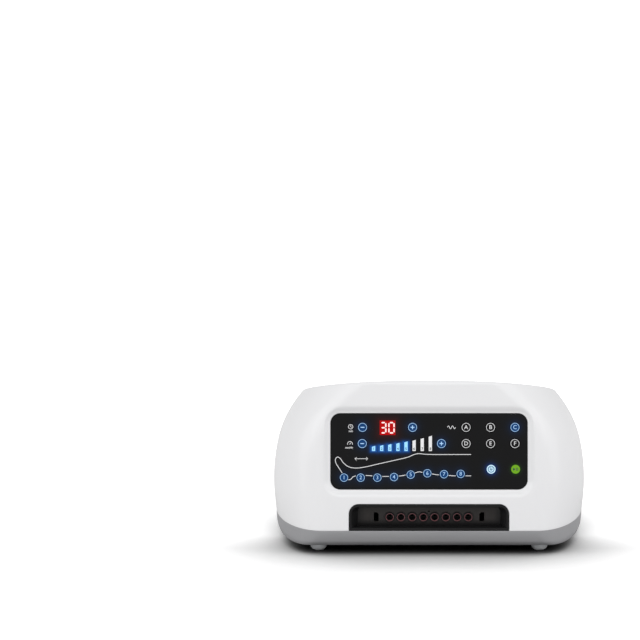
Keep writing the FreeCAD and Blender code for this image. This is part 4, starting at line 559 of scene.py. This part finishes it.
socket_black = moulding("black_socket_plastic", srgb(22, 22, 23), srgb(16, 16, 17), 0.3, 0.08, 60, 900, 0.05,
                        Specular_IOR_Level=0.25)
piece("sockets", solid_mesh("sockets", in_wall(socket)), [socket_black], replaces=["air_ports"],
      crease=35)
seal_red = moulding("red_seal_rubber", srgb(124, 76, 80), srgb(102, 60, 64), 0.42, 0.08, 90, 1500, 0.1)
piece("seal_rings", solid_mesh("seals", in_wall(seal)), [seal_red], replaces=["port_seals"],
      crease=50)


# ---------------------------------------------------------------- panel lens
# The lens is a 2 mm plate of black tinted acrylic, pressed in its seat, with a hole for each key.
# Light from the board shows through it round the lit keys, the bars and the time display.

FACE, KEY_FACE = -3.6, -3.1  # out of the plane of the cover's front
# place across, place up, radius
KEYS = {"key_time_minus": (-66.3, 24, 5.2), "key_time_plus": (-16.4, 24, 5.2),
        "key_pressure_minus": (-66.6, 7.8, 5.2), "key_pressure_plus": (12.4, 7.8, 5.2),
        "key_power": (62, -17.8, 5.2), "key_start_pause": (86.4, -17.8, 5.2)}
for i, letter in enumerate("abcdef"):
    KEYS["key_mode_" + letter] = (37 + i % 3 * 24.4, 24 - i // 3 * 16.2, 5.2)
for i, lift in enumerate((0, 0, 0, 0.2, 1, 1.45, 1.15, 1.25)):
    KEYS[f"key_position_{i + 1}"] = (-84.8 + 16.63 * i, -26.2 + 3 * lift, 4.6)
LIT = [key for key in KEYS
       if key.startswith(("key_time", "key_pressure", "key_position")) or key == "key_mode_c"]
BARS = [(-55.3 + 8.09 * i, 0.4, 5.1 * 1.169 ** i) for i in range(8)]  # middle, foot, height
LIT_BARS = 5
DISPLAY = (-41.35, 23.6, 7.8, 7.2)  # place, half width, half height

# Light that spreads in the lens: full inside a spot, then share * 0.3679 ** (distance / reach),
# which is share * exp(-distance / reach).
bleed, add, given = new_group("light_bleed", [
    ("Place", "Vector", (0, 0, 0)), ("Centre", "Vector", (0, 0, 0)), ("Half", "Vector", (0, 0, 0)),
    ("Round", "Float", 0.0), ("Reach", "Float", 1.0), ("Share", "Float", 0.4),
    ("Light", "Color", (0, 0, 1, 1)), ("Colour", "Color", (0, 0, 0, 1))], [("Colour", "Color")])
gap = add("ShaderNodeVectorMath", {0: (given, "Place"), 1: (given, "Centre")}, operation="SUBTRACT")
gap = add("ShaderNodeVectorMath", {0: (gap, 0)}, operation="ABSOLUTE")
gap = add("ShaderNodeVectorMath", {0: (gap, 0), 1: (given, "Half")}, operation="SUBTRACT")
gap = add("ShaderNodeVectorMath", {0: (gap, 0), 1: (0, 0, 0)}, operation="MAXIMUM")
gap = add("ShaderNodeVectorMath", {0: (gap, 0)}, operation="LENGTH")
gap = add("ShaderNodeMath", {0: (gap, "Value"), 1: (given, "Round")}, operation="SUBTRACT")
gap = add("ShaderNodeMath", {0: (gap, 0), 1: 0.0}, operation="MAXIMUM")
inside = add("ShaderNodeMath", {0: (gap, 0), 1: 0.0001}, operation="LESS_THAN")
fade = add("ShaderNodeMath", {0: (gap, 0), 1: (given, "Reach")}, operation="DIVIDE")
fade = add("ShaderNodeMath", {0: 0.3679, 1: (fade, 0)}, operation="POWER")
fade = add("ShaderNodeMath", {0: (fade, 0), 1: (given, "Share")}, operation="MULTIPLY")
level = add("ShaderNodeMath", {0: (fade, 0), 1: (inside, 0)}, operation="MAXIMUM")
level = add("ShaderNodeVectorMath", {0: (given, "Light"), 3: (level, 0)}, operation="SCALE")
level = add("ShaderNodeVectorMath", {0: (level, 0), 1: (given, "Colour")}, operation="ADD")
add("NodeGroupOutput", {"Colour": (level, 0)})


def lit_acrylic():
    """Black acrylic with the light of every lit spot added up in its emission."""
    made = moulding("black_panel_acrylic", srgb(17, 17, 18), srgb(13, 13, 14), 0.12, 0.05, 12, 500, 0.01,
                    Specular_IOR_Level=0.16)
    tree = made.node_tree
    add = node_tree(tree)
    where = add("ShaderNodeTexCoord")
    # millimetres across, out of and up the panel
    where = add("ShaderNodeVectorMath", {0: (where, "Object"), 1: (0, FRONT * -0.001, -SPLIT * 0.001)},
                operation="ADD")
    where = add("ShaderNodeVectorRotate", {"Vector": (where, 0), "Angle": LEAN}, rotation_type="X_AXIS")
    where = add("ShaderNodeVectorMath", {0: (where, 0), 1: (1000, 0, 1000)}, operation="MULTIPLY")
    # place, half size, corner radius, reach, share and colour of each glow
    glows = [((x, up), (0, 0), radius - 0.75, 2.6, 0.20, (0.0, 0.044, 0.165, 1))
             for x, up, radius in (KEYS[key] for key in LIT)]
    glows += [((x, foot + high / 2 - 0.5), (2.7, high / 2), 0.4, 1.1, 0.70, (0.002, 0.072, 0.31, 1))
              for x, foot, high in BARS[:LIT_BARS]]
    glows += [(KEYS["key_power"][:2], (0, 0), 4.35, 1.7, 0.40, (0.006, 0.07, 0.34, 1)),
              (KEYS["key_start_pause"][:2], (0, 0), 4.35, 1.0, 0.25, (0.05, 0.20, 0.01, 1)),
              (DISPLAY[:2], DISPLAY[2:], 0.0, 3.2, 0.07, (0.5, 0.0, 0.0, 1))]
    colour = None
    for (x, up), (half_x, half_y), radius, reach, share, light in glows:
        spot = add("ShaderNodeGroup", node_tree=bleed)
        for label, value in (("Centre", (x, 0, up + PANEL_UP)), ("Half", (half_x, 50, half_y)),
                             ("Round", radius), ("Reach", reach), ("Share", share), ("Light", light)):
            spot.inputs[label].default_value = value
        tree.links.new(where.outputs[0], spot.inputs["Place"])
        if colour:
            tree.links.new(colour.outputs["Colour"], spot.inputs["Colour"])
        colour = spot
    base = tree.nodes["Principled BSDF"]
    tree.links.new(colour.outputs["Colour"], base.inputs["Emission Color"])
    base.inputs["Emission Strength"].default_value = 1.0
    return made


acrylic = lit_acrylic()
plates = [round_plate(*(LENS - g), steps=20) for g in (0.1, 0, 0, 0.08, 0.3)]
lens = solid_mesh("lens", [panel_block(plates, (-5.6, -5.5, -3.9, -3.7, FACE))])


def upright_on_panel(points, x, up):
    """Turns points whose Z is the way out of the face onto the panel at a place."""
    return on_panel(points[:, 0] + x, points[:, 1] + up, points[:, 2])


holes = []
for x, up, radius in KEYS.values():
    hole = [(radius + 0.2, -6), (radius + 0.2, -3.75), (radius + 0.35, FACE), (radius + 0.35, -3)]
    points, faces = turned(hole, 56)
    holes.append((upright_on_panel(points, x, up), faces))
lens = carved(lens, solid_mesh("key_holes", holes))
piece("lens_plate", lens, [acrylic], replaces=["panel_lens"], crease=12)


# ---------------------------------------------------------------- keys
# The keys are round caps of the same acrylic that stand half a millimetre proud, each held behind
# the lens by its flange. Rings, signs and numbers are raised ink on them, backlit where a key is on.

INK, THIN_INK = 0.05, 0.03
OVER, CROSSING = 0.04, 0.01  # height of a second ink on a first, and of one stroke on another


def ink_ring(x, up, inner, outer, out):
    """Ring of ink: a rectangle turned about the way out of the face."""
    section = [(inner, out), (inner, out + INK), (outer, out + INK), (outer, out)]
    points, faces = turned(section, 64, True)
    return upright_on_panel(points, x, up), faces


def ink_disc(x, up, radius, out):
    """Thin round disc of ink."""
    points, faces = turned([(radius, out), (radius, out + THIN_INK)], 56)
    return upright_on_panel(points, x, up), faces


def ink_shape(outline, out):
    """Flat inked shape from its outline."""
    outline = np.asarray(outline, float)
    return panel_block([outline, outline], (out, out + INK))


def ink_bar(x, up, half_x, half_y, out):
    """Inked rectangle: its middle, plus and minus its half sizes."""
    corners = np.array([(-1, -1), (1, -1), (1, 1), (-1, 1)])
    return ink_shape(corners * (half_x, half_y) + (x, up), out)


def ink_line(path, width, out):
    """Ribbon along a path: each point moved half the width to either side of the local direction."""
    path = np.asarray(path, float)
    way = unit(np.gradient(path, axis=0))
    side = np.stack([-way[:, 1], way[:, 0]], -1) * width / 2
    corners = [(path + side, out), (path + side, out + INK), (path - side, out + INK), (path - side, out)]
    return skin(np.stack([on_panel(p[:, 0], p[:, 1], level) for p, level in corners], 1), caps=True)


def arc(x, up, radius, first, last, steps=40):
    """Points on a circle between two angles in degrees."""
    a = np.radians(np.linspace(first, last, steps))
    return np.stack([x + radius * np.cos(a), up + radius * np.sin(a)], -1)


def ink_words(words, height, x, up, out, align="CENTER", bold=0.0):
    """Generic lettering: Blender's own font, made a mesh, its capitals height tall, which is 0.69
    of the font's size."""
    curve = bpy.data.curves.new("words", "FONT")
    curve.body = words
    curve.size = height / 0.69
    curve.align_x, curve.align_y = align, "CENTER"
    curve.offset = bold
    curve.resolution_u = 4
    held = bpy.data.objects.new("words", curve)
    bpy.context.scene.collection.objects.link(held)
    bpy.context.view_layer.update()
    flat = bpy.data.meshes.new_from_object(held.evaluated_get(bpy.context.evaluated_depsgraph_get()))
    points = np.empty(len(flat.vertices) * 3)
    flat.vertices.foreach_get("co", points)
    points = points.reshape(-1, 3)
    faces = [list(f.vertices) for f in flat.polygons]
    bpy.data.objects.remove(held)
    points[:, 2] = out + INK
    return upright_on_panel(points, x, up), faces


def glowing(name, colour, shade, strength, scale=400.0):
    """Backlit ink: its light has the colour's clouds, so it is a little uneven, as a diffuser's is."""
    made = moulding(name, colour, shade, 0.5, 0.05, scale, 900, 0.0, Specular_IOR_Level=0.1)
    tree = made.node_tree
    group = [n for n in tree.nodes if n.type == "GROUP"][0]
    base = tree.nodes["Principled BSDF"]
    tree.links.new(group.outputs["Colour"], base.inputs["Emission Color"])
    base.inputs["Emission Strength"].default_value = strength
    return made


white_ink = moulding("white_ink", srgb(243, 243, 244), srgb(232, 232, 234), 0.5, 0.05, 300, 900, 0.02)
blue_ink = glowing("blue_backlit_ink", srgb(166, 204, 238), srgb(152, 190, 230), 0.26)
green_ink = glowing("green_backlit_ink", srgb(110, 163, 34), srgb(98, 150, 26), 0.27)
power_ink = glowing("mid_blue_backlit_ink", srgb(116, 150, 174), srgb(106, 140, 164), 0.28)
power_edge = glowing("white_blue_backlit_ink", srgb(204, 232, 246), srgb(194, 224, 240), 0.36)
dark_ink = moulding("dark_ink", srgb(40, 60, 70), srgb(30, 45, 55), 0.5)

RING, RING_WIDTH, RING_MARGIN = 4.35, 0.45, 0.58  # outer radius at most, width, least way to the edge
POWER_DISC, POWER_LINE = 3.55, 0.7
STROKE = (1.9, 0.45)  # half length and half width of a minus sign
BEVEL = 0.4  # round edge of a cap


def key_marks(key, x, up, radius):
    """What is printed on a key: pieces of ink by the end of their names, each with its material."""
    if key == "key_power":
        sign = [ink_line(arc(x, up, 1.9, 125, 415), POWER_LINE, KEY_FACE + OVER),
                ink_line([(x, up + 0.3), (x, up + 1.4), (x, up + 2.6)], POWER_LINE, KEY_FACE + OVER)]
        return {"_print": ([ink_ring(x, up, POWER_DISC, RING, KEY_FACE)], power_edge),
                "_sign": (sign, power_edge),
                "_disc": ([ink_disc(x, up, POWER_DISC, KEY_FACE)], power_ink)}
    if key == "key_start_pause":
        sign = [ink_shape([(x - 2.5, up - 1.5), (x - 0.1, up), (x - 2.5, up + 1.5)], KEY_FACE + OVER)]
        sign += [ink_bar(x + along, up, 0.3, 1.5, KEY_FACE + OVER) for along in (1.0, 2.2)]
        return {"_print": ([ink_disc(x, up, RING, KEY_FACE)], green_ink), "_sign": (sign, dark_ink)}
    outer = min(radius - RING_MARGIN, RING)
    marks = [ink_ring(x, up, outer - RING_WIDTH, outer, KEY_FACE)]
    if key.endswith(("minus", "plus")):
        marks.append(ink_bar(x, up, *STROKE, KEY_FACE))
    else:
        marks.append(ink_words(key[-1].upper(), 3.9 if "mode" in key else 3.7, x, up, KEY_FACE, bold=0.02))
    if key.endswith("plus"):
        marks.append(ink_bar(x, up, *STROKE[::-1], KEY_FACE + CROSSING))
    return {"_print": (marks, blue_ink if key in LIT else white_ink)}


for key, (x, up, radius) in KEYS.items():
    bevel = [(radius - BEVEL + BEVEL * math.sin(a), KEY_FACE - BEVEL + BEVEL * math.cos(a))
             for a in np.linspace(0, math.pi / 2, 6)]
    cap = [*bevel, (radius, -5.7), (radius + 1, -5.7), (radius + 1, -6.6), (1.6, -6.6), (1.6, -8.8)]
    points, faces = turned(cap[::-1], 56)
    piece(key + "_cap", solid_mesh(key, [(upright_on_panel(points, x, up), faces)]), [acrylic], body=key,
          replaces=[key], crease=12)
    for end, (marks, ink) in key_marks(key, x, up, radius).items():
        piece(key + end, solid_mesh(key + end, marks), [ink], body=key, crease=40)


# ---------------------------------------------------------------- prints on the lens
# White ink on the lens draws the outline of a leg, along which the place keys lie, and plain signs
# by the rows of keys. Blue bars of rising height are lit up to the pressure that is set.

def curve_through(points, steps=12):
    """Catmull-Rom curve: a cubic between each two points, whose slope at a point is half the chord
    between its neighbours."""
    p = np.asarray(points, float)
    slope = np.gradient(p, axis=0)
    t = np.linspace(0, 1, steps, endpoint=False)[:, None, None]
    run = hermite(t, p[:-1], p[1:], slope[:-1], slope[1:])
    return np.vstack([run.transpose(1, 0, 2).reshape(-1, 2), p[-1:]])


shin = [(-86.6, -21.6), (-89, -17.8), (-92.6, -12.2), (-93.4, -8.2), (-91.4, -5.6), (-88.4, -7.2),
        (-85.4, -11.4), (-80, -15.4), (-73, -16.6), (-64, -15.6), (-50, -12.4), (-34, -8.8), (-22, -6),
        (-15, -3.2), (-10, -2.2), (-4, -2.8), (4, -3.1), (22, -3.1), (42, -3.1)]
# the underside shows between the place keys
calf = [[(-80.6, -28.4), (-78, -27.8), (-75.8, -25.4), (-73, -24.4)],
        [(-63.2, -24.1), (-60, -24.1), (-56.6, -24.4)], [(-46.6, -25.0), (-43, -25.0), (-40, -24.9)],
        [(-30, -24.6), (-27, -24.3), (-23.4, -23.5)], [(-14.2, -21.6), (-10, -20.4), (-6.6, -21)],
        [(3, -22.4), (7, -23.2), (10, -23.4)], [(19.6, -24), (23, -24.3), (26.6, -24.4)],
        [(36.4, -24.4), (39, -24.4), (42, -24.4)]]
LEG_LINE, SIGN_LINE = 0.65, 0.5
prints = [ink_line(curve_through(points), LEG_LINE, FACE) for points in (shin, *calf)]

# a clock over minutes, a gauge over millimetres of mercury, a wave for the mode, and a double arrow
# for the place on the leg
turn = np.linspace(0, 4 * math.pi, 40)
wave = np.stack([18.4 + 2 * turn / math.pi, 24 + 1.5 * np.sin(turn)], -1)
signs = [arc(-78.2, 24.6, 2.2, 0, 360),
         [(-78.2, 26.0), (-78.2, 25.2), (-78.2, 24.5), (-77.6, 24.2), (-77.1, 24.0)],
         arc(-78.8, 7.4, 2.5, -15, 195), [(-79.4, 7.0), (-78.6, 7.8), (-77.7, 8.9)], wave,
         [(-74, -7.3), (-67.5, -7.3), (-61, -7.3)], [(-72.2, -5.8), (-74, -7.3), (-72.2, -8.8)],
         [(-62.8, -5.8), (-61, -7.3), (-62.8, -8.8)]]
prints += [ink_line(path, SIGN_LINE, FACE) for path in signs]
prints += [ink_words(words, 2.0, -75.8, up, FACE, "RIGHT", 0.04)
           for words, up in (("min", 20.2), ("mmHg", 3.7))]
BAR, SLANT = 1.62, 1  # half width of a bar, and how much its top slants
bars = [ink_shape([(x - BAR, foot), (x + BAR, foot), (x + BAR, foot + high), (x - BAR, foot + high - SLANT)],
                  FACE) for x, foot, high in BARS]
numbers = [ink_words(str(i + 1), 2.5, x, foot + 2.1, FACE + OVER, bold=0.05)
           for i, (x, foot, _) in enumerate(BARS)]
pale_ink = glowing("pale_backlit_ink", srgb(150, 205, 240), srgb(135, 195, 238), 0.45)
piece("panel_print", solid_mesh("panel_print", prints + bars[LIT_BARS:]), [white_ink])
piece("lit_bars", solid_mesh("lit_bars", bars[:LIT_BARS]), [pale_ink])
piece("bar_numbers", solid_mesh("bar_numbers", numbers), [dark_ink])


# ---------------------------------------------------------------- time display
# A backlit red window stands on the lens between the time keys. It shows thirty minutes in two
# white seven-segment figures.

red_ink = glowing("red_backlit_window", srgb(176, 1, 1), srgb(148, 0, 0), 0.37, 90)
segment_ink = glowing("white_hot_segments", srgb(248, 228, 226), srgb(246, 214, 211), 0.35)
x, up, half_x, half_y = DISPLAY
window = panel_block([round_plate(half_x, half_y, 0.6) + (x, up)] * 2, (FACE, FACE + THIN_INK))
piece("display_window", solid_mesh("display_window", [window]), [red_ink])

DIGITS = {"3": "abgcd", "0": "abcdef"}
DIGIT_X, DIGIT_Y, SEGMENT = 2.55, 5.1, 0.7  # half width and height of a figure, half width of a bar
TIP, POINT = 0.75, 0.5  # how far a level bar's tip stays from the corner, length of its point
TALL_TIP, TALL_POINT = 0.35, 0.6


def segments(digit, x, up):
    """The six-sided bars of a seven-segment figure, from a level one and an upright one."""
    tip, shoulder = DIGIT_X - TIP, DIGIT_X - TIP - POINT
    flat = np.array([(-tip, 0), (-shoulder, SEGMENT), (shoulder, SEGMENT), (tip, 0), (shoulder, -SEGMENT),
                     (-shoulder, -SEGMENT)])
    low, high = TALL_TIP + TALL_POINT, DIGIT_Y - TALL_TIP - TALL_POINT
    tall = np.array([(0, TALL_TIP), (SEGMENT, low), (SEGMENT, high), (0, DIGIT_Y - TALL_TIP),
                     (-SEGMENT, high), (-SEGMENT, low)])
    under = tall * (1, -1)
    shapes = {"a": flat + (0, DIGIT_Y), "g": flat, "d": flat - (0, DIGIT_Y), "b": tall + (DIGIT_X, 0),
              "c": under + (DIGIT_X, 0), "f": tall - (DIGIT_X, 0), "e": under - (DIGIT_X, 0)}
    return [ink_shape(shapes[letter] + (x, up), FACE + OVER) for letter in DIGITS[digit]]


figures = segments("3", x - 4.3, up) + segments("0", x + 3.9, up)
piece("display_figures", solid_mesh("figures", figures), [segment_ink])


# ---------------------------------------------------------------- mains fittings
# At the back a three-pole inlet and a rocker switch snap into the flat. They are black mouldings
# with plated pins, and the rocker carries the usual line and circle in white.

fitting = moulding("black_fitting_plastic", srgb(34, 34, 36), srgb(27, 27, 29), 0.4, 0.08, 40, 1100, 0.1)
contact = moulding("plated_contact", srgb(196, 190, 170), srgb(170, 160, 135), 0.28, 0.1, 120, 900, 0.02,
                   Metallic=1.0)


def dress(material, *names):
    """Gives CAD nodes a material."""
    for name in names:
        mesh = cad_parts[name].data
        mesh.materials.clear()
        mesh.materials.append(material)


dress(fitting, "mains_inlet", "switch_body", "mains_rocker")
dress(contact, "inlet_pins")
TILT = math.radians(7)  # of the rocker at rest
PIVOT = np.array([43, 94.2, 52.0])
FACE_MIDDLE, FACE_RISE, FACE_END = 3.2, 1.4, 7.8  # height at its middle, rise to its end, half length
GAP, PAINT, MARK_LINE = 0.02, 0.04, 0.5  # between face and marks, thickness and width of their lines


def on_rocker(x, y):
    """Points of the rocker's face, which dips from its ends to its middle, at a place on it: turned
    by its tilt about its pivot."""
    high = FACE_MIDDLE + FACE_RISE * np.abs(y) / FACE_END + GAP
    y2, z2 = high * math.cos(TILT) - y * math.sin(TILT), high * math.sin(TILT) + y * math.cos(TILT)
    return np.stack([PIVOT[0] - x, PIVOT[1] + y2, PIVOT[2] + z2], -1)


def rocker_mark(path, width):
    """Ribbon on the rocker's face, half the width to either side of its path."""
    path = np.asarray(path, float)
    way = unit(np.gradient(path, axis=0))
    side = np.stack([-way[:, 1], way[:, 0]], -1) * width / 2
    left, right = on_rocker(*(path - side).T), on_rocker(*(path + side).T)
    lift = np.array([0, PAINT, 0])
    return skin(np.stack([left, left + lift, right + lift, right], 1), caps=True)


marks = [rocker_mark(path, MARK_LINE)
         for path in (arc(0, -4.6, 1.6, 0, 360, 30), [(0, 3.1), (0, 4.6), (0, 6.1)])]
piece("rocker_marks", solid_mesh("rocker_marks", marks), [white_ink], body="mains_rocker_body",
      crease=40)


# ---------------------------------------------------------------- inside the case
# What the console holds: the control board with its switches and lights, the valve bank with its
# tubes, the linear pump on rubber mounts, and the power board.

# material: colour, colour of its clouds, roughness, its spread, scale of clouds and of grain, relief,
# metal, and the nodes that are made of it
INSIDE = {
    "zinc_plated_steel": ((178, 180, 184), (150, 152, 158), 0.32, 0.12, 200, 900, 0.05, 1.0,
                          ("foot_screws", "case_screws")),
    "cast_aluminium": ((165, 167, 170), (145, 147, 151), 0.45, 0.15, 80, 500, 0.3, 1.0,
                       ("pump_chassis", "pump_heads")),
    "laminated_iron": ((70, 72, 76), (48, 50, 54), 0.5, 0.12, 150, 2200, 0.4, 1.0,
                       ("pump_cores", "pump_armature", "transformer",
                        *[f"valve_plunger_{i + 1}" for i in range(8)])),
    "enamelled_copper": ((168, 92, 44), (132, 66, 30), 0.35, 0.1, 300, 3000, 0.5, 0.9,
                         ("pump_coils", "valve_coils")),
    "black_rubber": ((38, 38, 38), (28, 28, 28), 0.75, 0.08, 80, 1500, 0.2, 0.0, ("pump_isolators",)),
    "natural_nylon": ((212, 208, 196), (196, 190, 176), 0.45, 0.08, 60, 900, 0.1, 0.0, ("valve_manifold",)),
    "clear_silicone_tube": ((205, 210, 214), (180, 188, 194), 0.3, 0.08, 70, 900, 0.05, 0.0,
                            ("port_tubes", "supply_tube")),
    "green_board": ((28, 84, 52), (16, 58, 36), 0.4, 0.1, 260, 1400, 0.15, 0.0,
                    ("control_board", "power_board")),
    "capacitor_sleeve": ((30, 42, 92), (20, 28, 66), 0.35, 0.08, 90, 900, 0.05, 0.0, ("power_capacitors",)),
    "light_diffuser": ((225, 226, 228), (206, 208, 212), 0.5, 0.06, 80, 900, 0.05, 0.0,
                       ("time_display", "pressure_bars"))}
for name, (colour, clouded, rough, spread, cloud, grain, relief, metal, nodes) in INSIDE.items():
    finish = moulding(name, srgb(*colour), srgb(*clouded), rough, spread, cloud, grain, relief,
                      Metallic=metal)
    dress(finish, *nodes)
dress(fitting, "tact_switches")


# ---------------------------------------------------------------- pump diaphragms
# Two moulded rubber diaphragms close the pump's heads. The rim is clamped in the head, the middle
# moves with the armature's disc, and the arched ring between them rolls.

low, high = (1000 * np.array(corner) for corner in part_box("pump_diaphragms"))
RUBBER, DISC_EDGE, CLAMP_EDGE, ARCH = 1.6, 9.5, 14.8, 2.2
radii = np.r_[1, 5, 9, np.linspace(DISC_EDGE, CLAMP_EDGE, 15), 16.5, 18.5, 20]
ringward = np.clip((radii - DISC_EDGE) / (CLAMP_EDGE - DISC_EDGE), 0, 1)
arched = ARCH * np.sin(math.pi * ringward) ** 2
discs = []
for outward, seat_x in ((-1, low[0] + RUBBER), (1, high[0] - RUBBER)):
    inner, outer = np.c_[radii, arched], np.c_[radii, arched + RUBBER][::-1]
    points, faces = turned(np.vstack([inner, outer]), 64)
    points = np.stack([seat_x + outward * points[:, 2], (low[1] + high[1]) / 2 + points[:, 0],
                       (low[2] + high[2]) / 2 + points[:, 1]], -1)
    discs.append((points, faces))
rubber_discs = piece("diaphragm_discs", solid_mesh("diaphragms", discs),
                     [bpy.data.materials["black_rubber"]], body=None, replaces=["pump_diaphragms"],
                     crease=40)
middle = (low + high) / 2000
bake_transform(rubber_discs)
# a share by the distance from the axis, full inside the disc's edge and none from the clamp on; nothing here
# uses it to bend the rubber
points = np.empty(len(rubber_discs.data.vertices) * 3)
rubber_discs.data.vertices.foreach_get("co", points)
away = np.hypot(*(points.reshape(-1, 3)[:, 1:] - middle[1:]).T) * 1000
share = np.clip((CLAMP_EDGE - away) / (CLAMP_EDGE - DISC_EDGE), 0, 1)
share = share ** 2 * (3 - 2 * share)


# ---------------------------------------------------------------- floor, light and camera
# A white floor whose colour carries painted shade toward the console, from ambient occlusion, and painted
# light that makes it brighter behind than in front for the camera, in an evenly bright room with five broad
# soft lamps. The camera is straight in front and 14 degrees over it.

floor_mesh = bpy.data.meshes.new("floor")
corners = 30 * np.array([(-1, -1, 0), (1, -1, 0), (1, 1, 0), (-1, 1, 0)])
floor_mesh.from_pydata(corners, [], [(0, 1, 2, 3)])
floor = bpy.data.objects.new("floor", floor_mesh)
bpy.context.scene.collection.objects.link(floor)
ground = bpy.data.materials.new("studio_floor")
ground.use_nodes = True
ground.node_tree.nodes.remove(ground.node_tree.nodes["Principled BSDF"])
add = node_tree(ground.node_tree)
seen = add("ShaderNodeLightPath")
depth = add("ShaderNodeSeparateXYZ", {0: (add("ShaderNodeTexCoord"), "Object")})
bright = add("ShaderNodeMapRange", {0: (depth, "Y"), 1: -0.07, 2: -0.01, 3: 1.14, 4: 1.5})
level = add("ShaderNodeMapRange", {0: (seen, "Is Camera Ray"), 3: 0.8, 4: (bright, 0)})
# painted shade under the console: ambient occlusion darkens the floor's colour, and its depth falls off from
# the front to the back
depth_of_shade = add("ShaderNodeMapRange", {0: (depth, "Y"), 1: -0.085, 2: -0.02, 3: 1.6, 4: 0.25})
shade = add("ShaderNodeAmbientOcclusion", {"Distance": 0.085})
shade = add("ShaderNodeMath", {0: (shade, "AO"), 1: (depth_of_shade, 0)}, operation="POWER")
shade = add("ShaderNodeMath", {0: (shade, 0), 1: (level, 0)}, operation="MULTIPLY")
matt = add("ShaderNodeBsdfDiffuse", {"Color": (shade, 0)})
ground.node_tree.links.new(matt.outputs[0], ground.node_tree.nodes["Material Output"].inputs["Surface"])
floor_mesh.materials.append(ground)

world = bpy.data.worlds.new("studio")
bpy.context.scene.world = world
world.use_nodes = True
add = node_tree(world.node_tree)
sky = world.node_tree.nodes["Background"]
seen = add("ShaderNodeLightPath")
strength = add("ShaderNodeMapRange", {0: (seen, "Is Camera Ray"), 3: 0.70, 4: 1.0})
sky.inputs["Color"].default_value = (1, 1, 1, 1)
world.node_tree.links.new(strength.outputs[0], sky.inputs["Strength"])

# strength, width in degrees and place of each lamp, all aimed at the origin
LAMPS = {"upper_left": (0.35, 55, (-1.1, -0.9, 1.4)), "upper_right": (0.35, 55, (1.1, -0.9, 1.4)),
         "side_left": (0.26, 40, (-1.9, -0.4, 0.8)), "side_right": (0.22, 40, (1.9, -0.4, 0.8)),
         "front_top": (0.26, 40, (0, -1.0, 1.2))}
for name, (power, wide, place) in LAMPS.items():
    lamp = bpy.data.lights.new(name, "SUN")
    lamp.energy, lamp.angle = power, math.radians(wide)
    held = bpy.data.objects.new(name, lamp)
    held.location = place
    x, y, z = place
    held.rotation_euler = (math.acos(z / math.sqrt(x * x + y * y + z * z)), 0, math.atan2(x, -y))
    bpy.context.scene.collection.objects.link(held)

LENS_MM, SENSOR_MM, IMAGE = 800, 36, 640
distance = IMAGE * LENS_MM / SENSOR_MM * 0.001  # so a pixel covers a millimetre at the target
target = np.array([0, -0.05, 0.085])
camera = bpy.data.cameras.new("camera")
camera.lens, camera.sensor_width = LENS_MM, SENSOR_MM
camera.clip_start, camera.clip_end = 0.5, 100
held = bpy.data.objects.new("camera", camera)
held.location = target + distance * np.array([0, -math.cos(LEAN), math.sin(LEAN)])
# square to the leaning front, then turned up and left, so the console stands low and right of middle
upward, sideways = math.atan(0.1405 / distance), math.atan(0.109 / distance)
tilted = Matrix.Rotation(math.pi / 2 - LEAN + upward, 3, "X") @ Matrix.Rotation(sideways, 3, "Y")
held.rotation_euler = tilted.to_euler()
bpy.context.scene.collection.objects.link(held)
bpy.context.scene.camera = held
bpy.context.scene.view_settings.view_transform = "Standard"
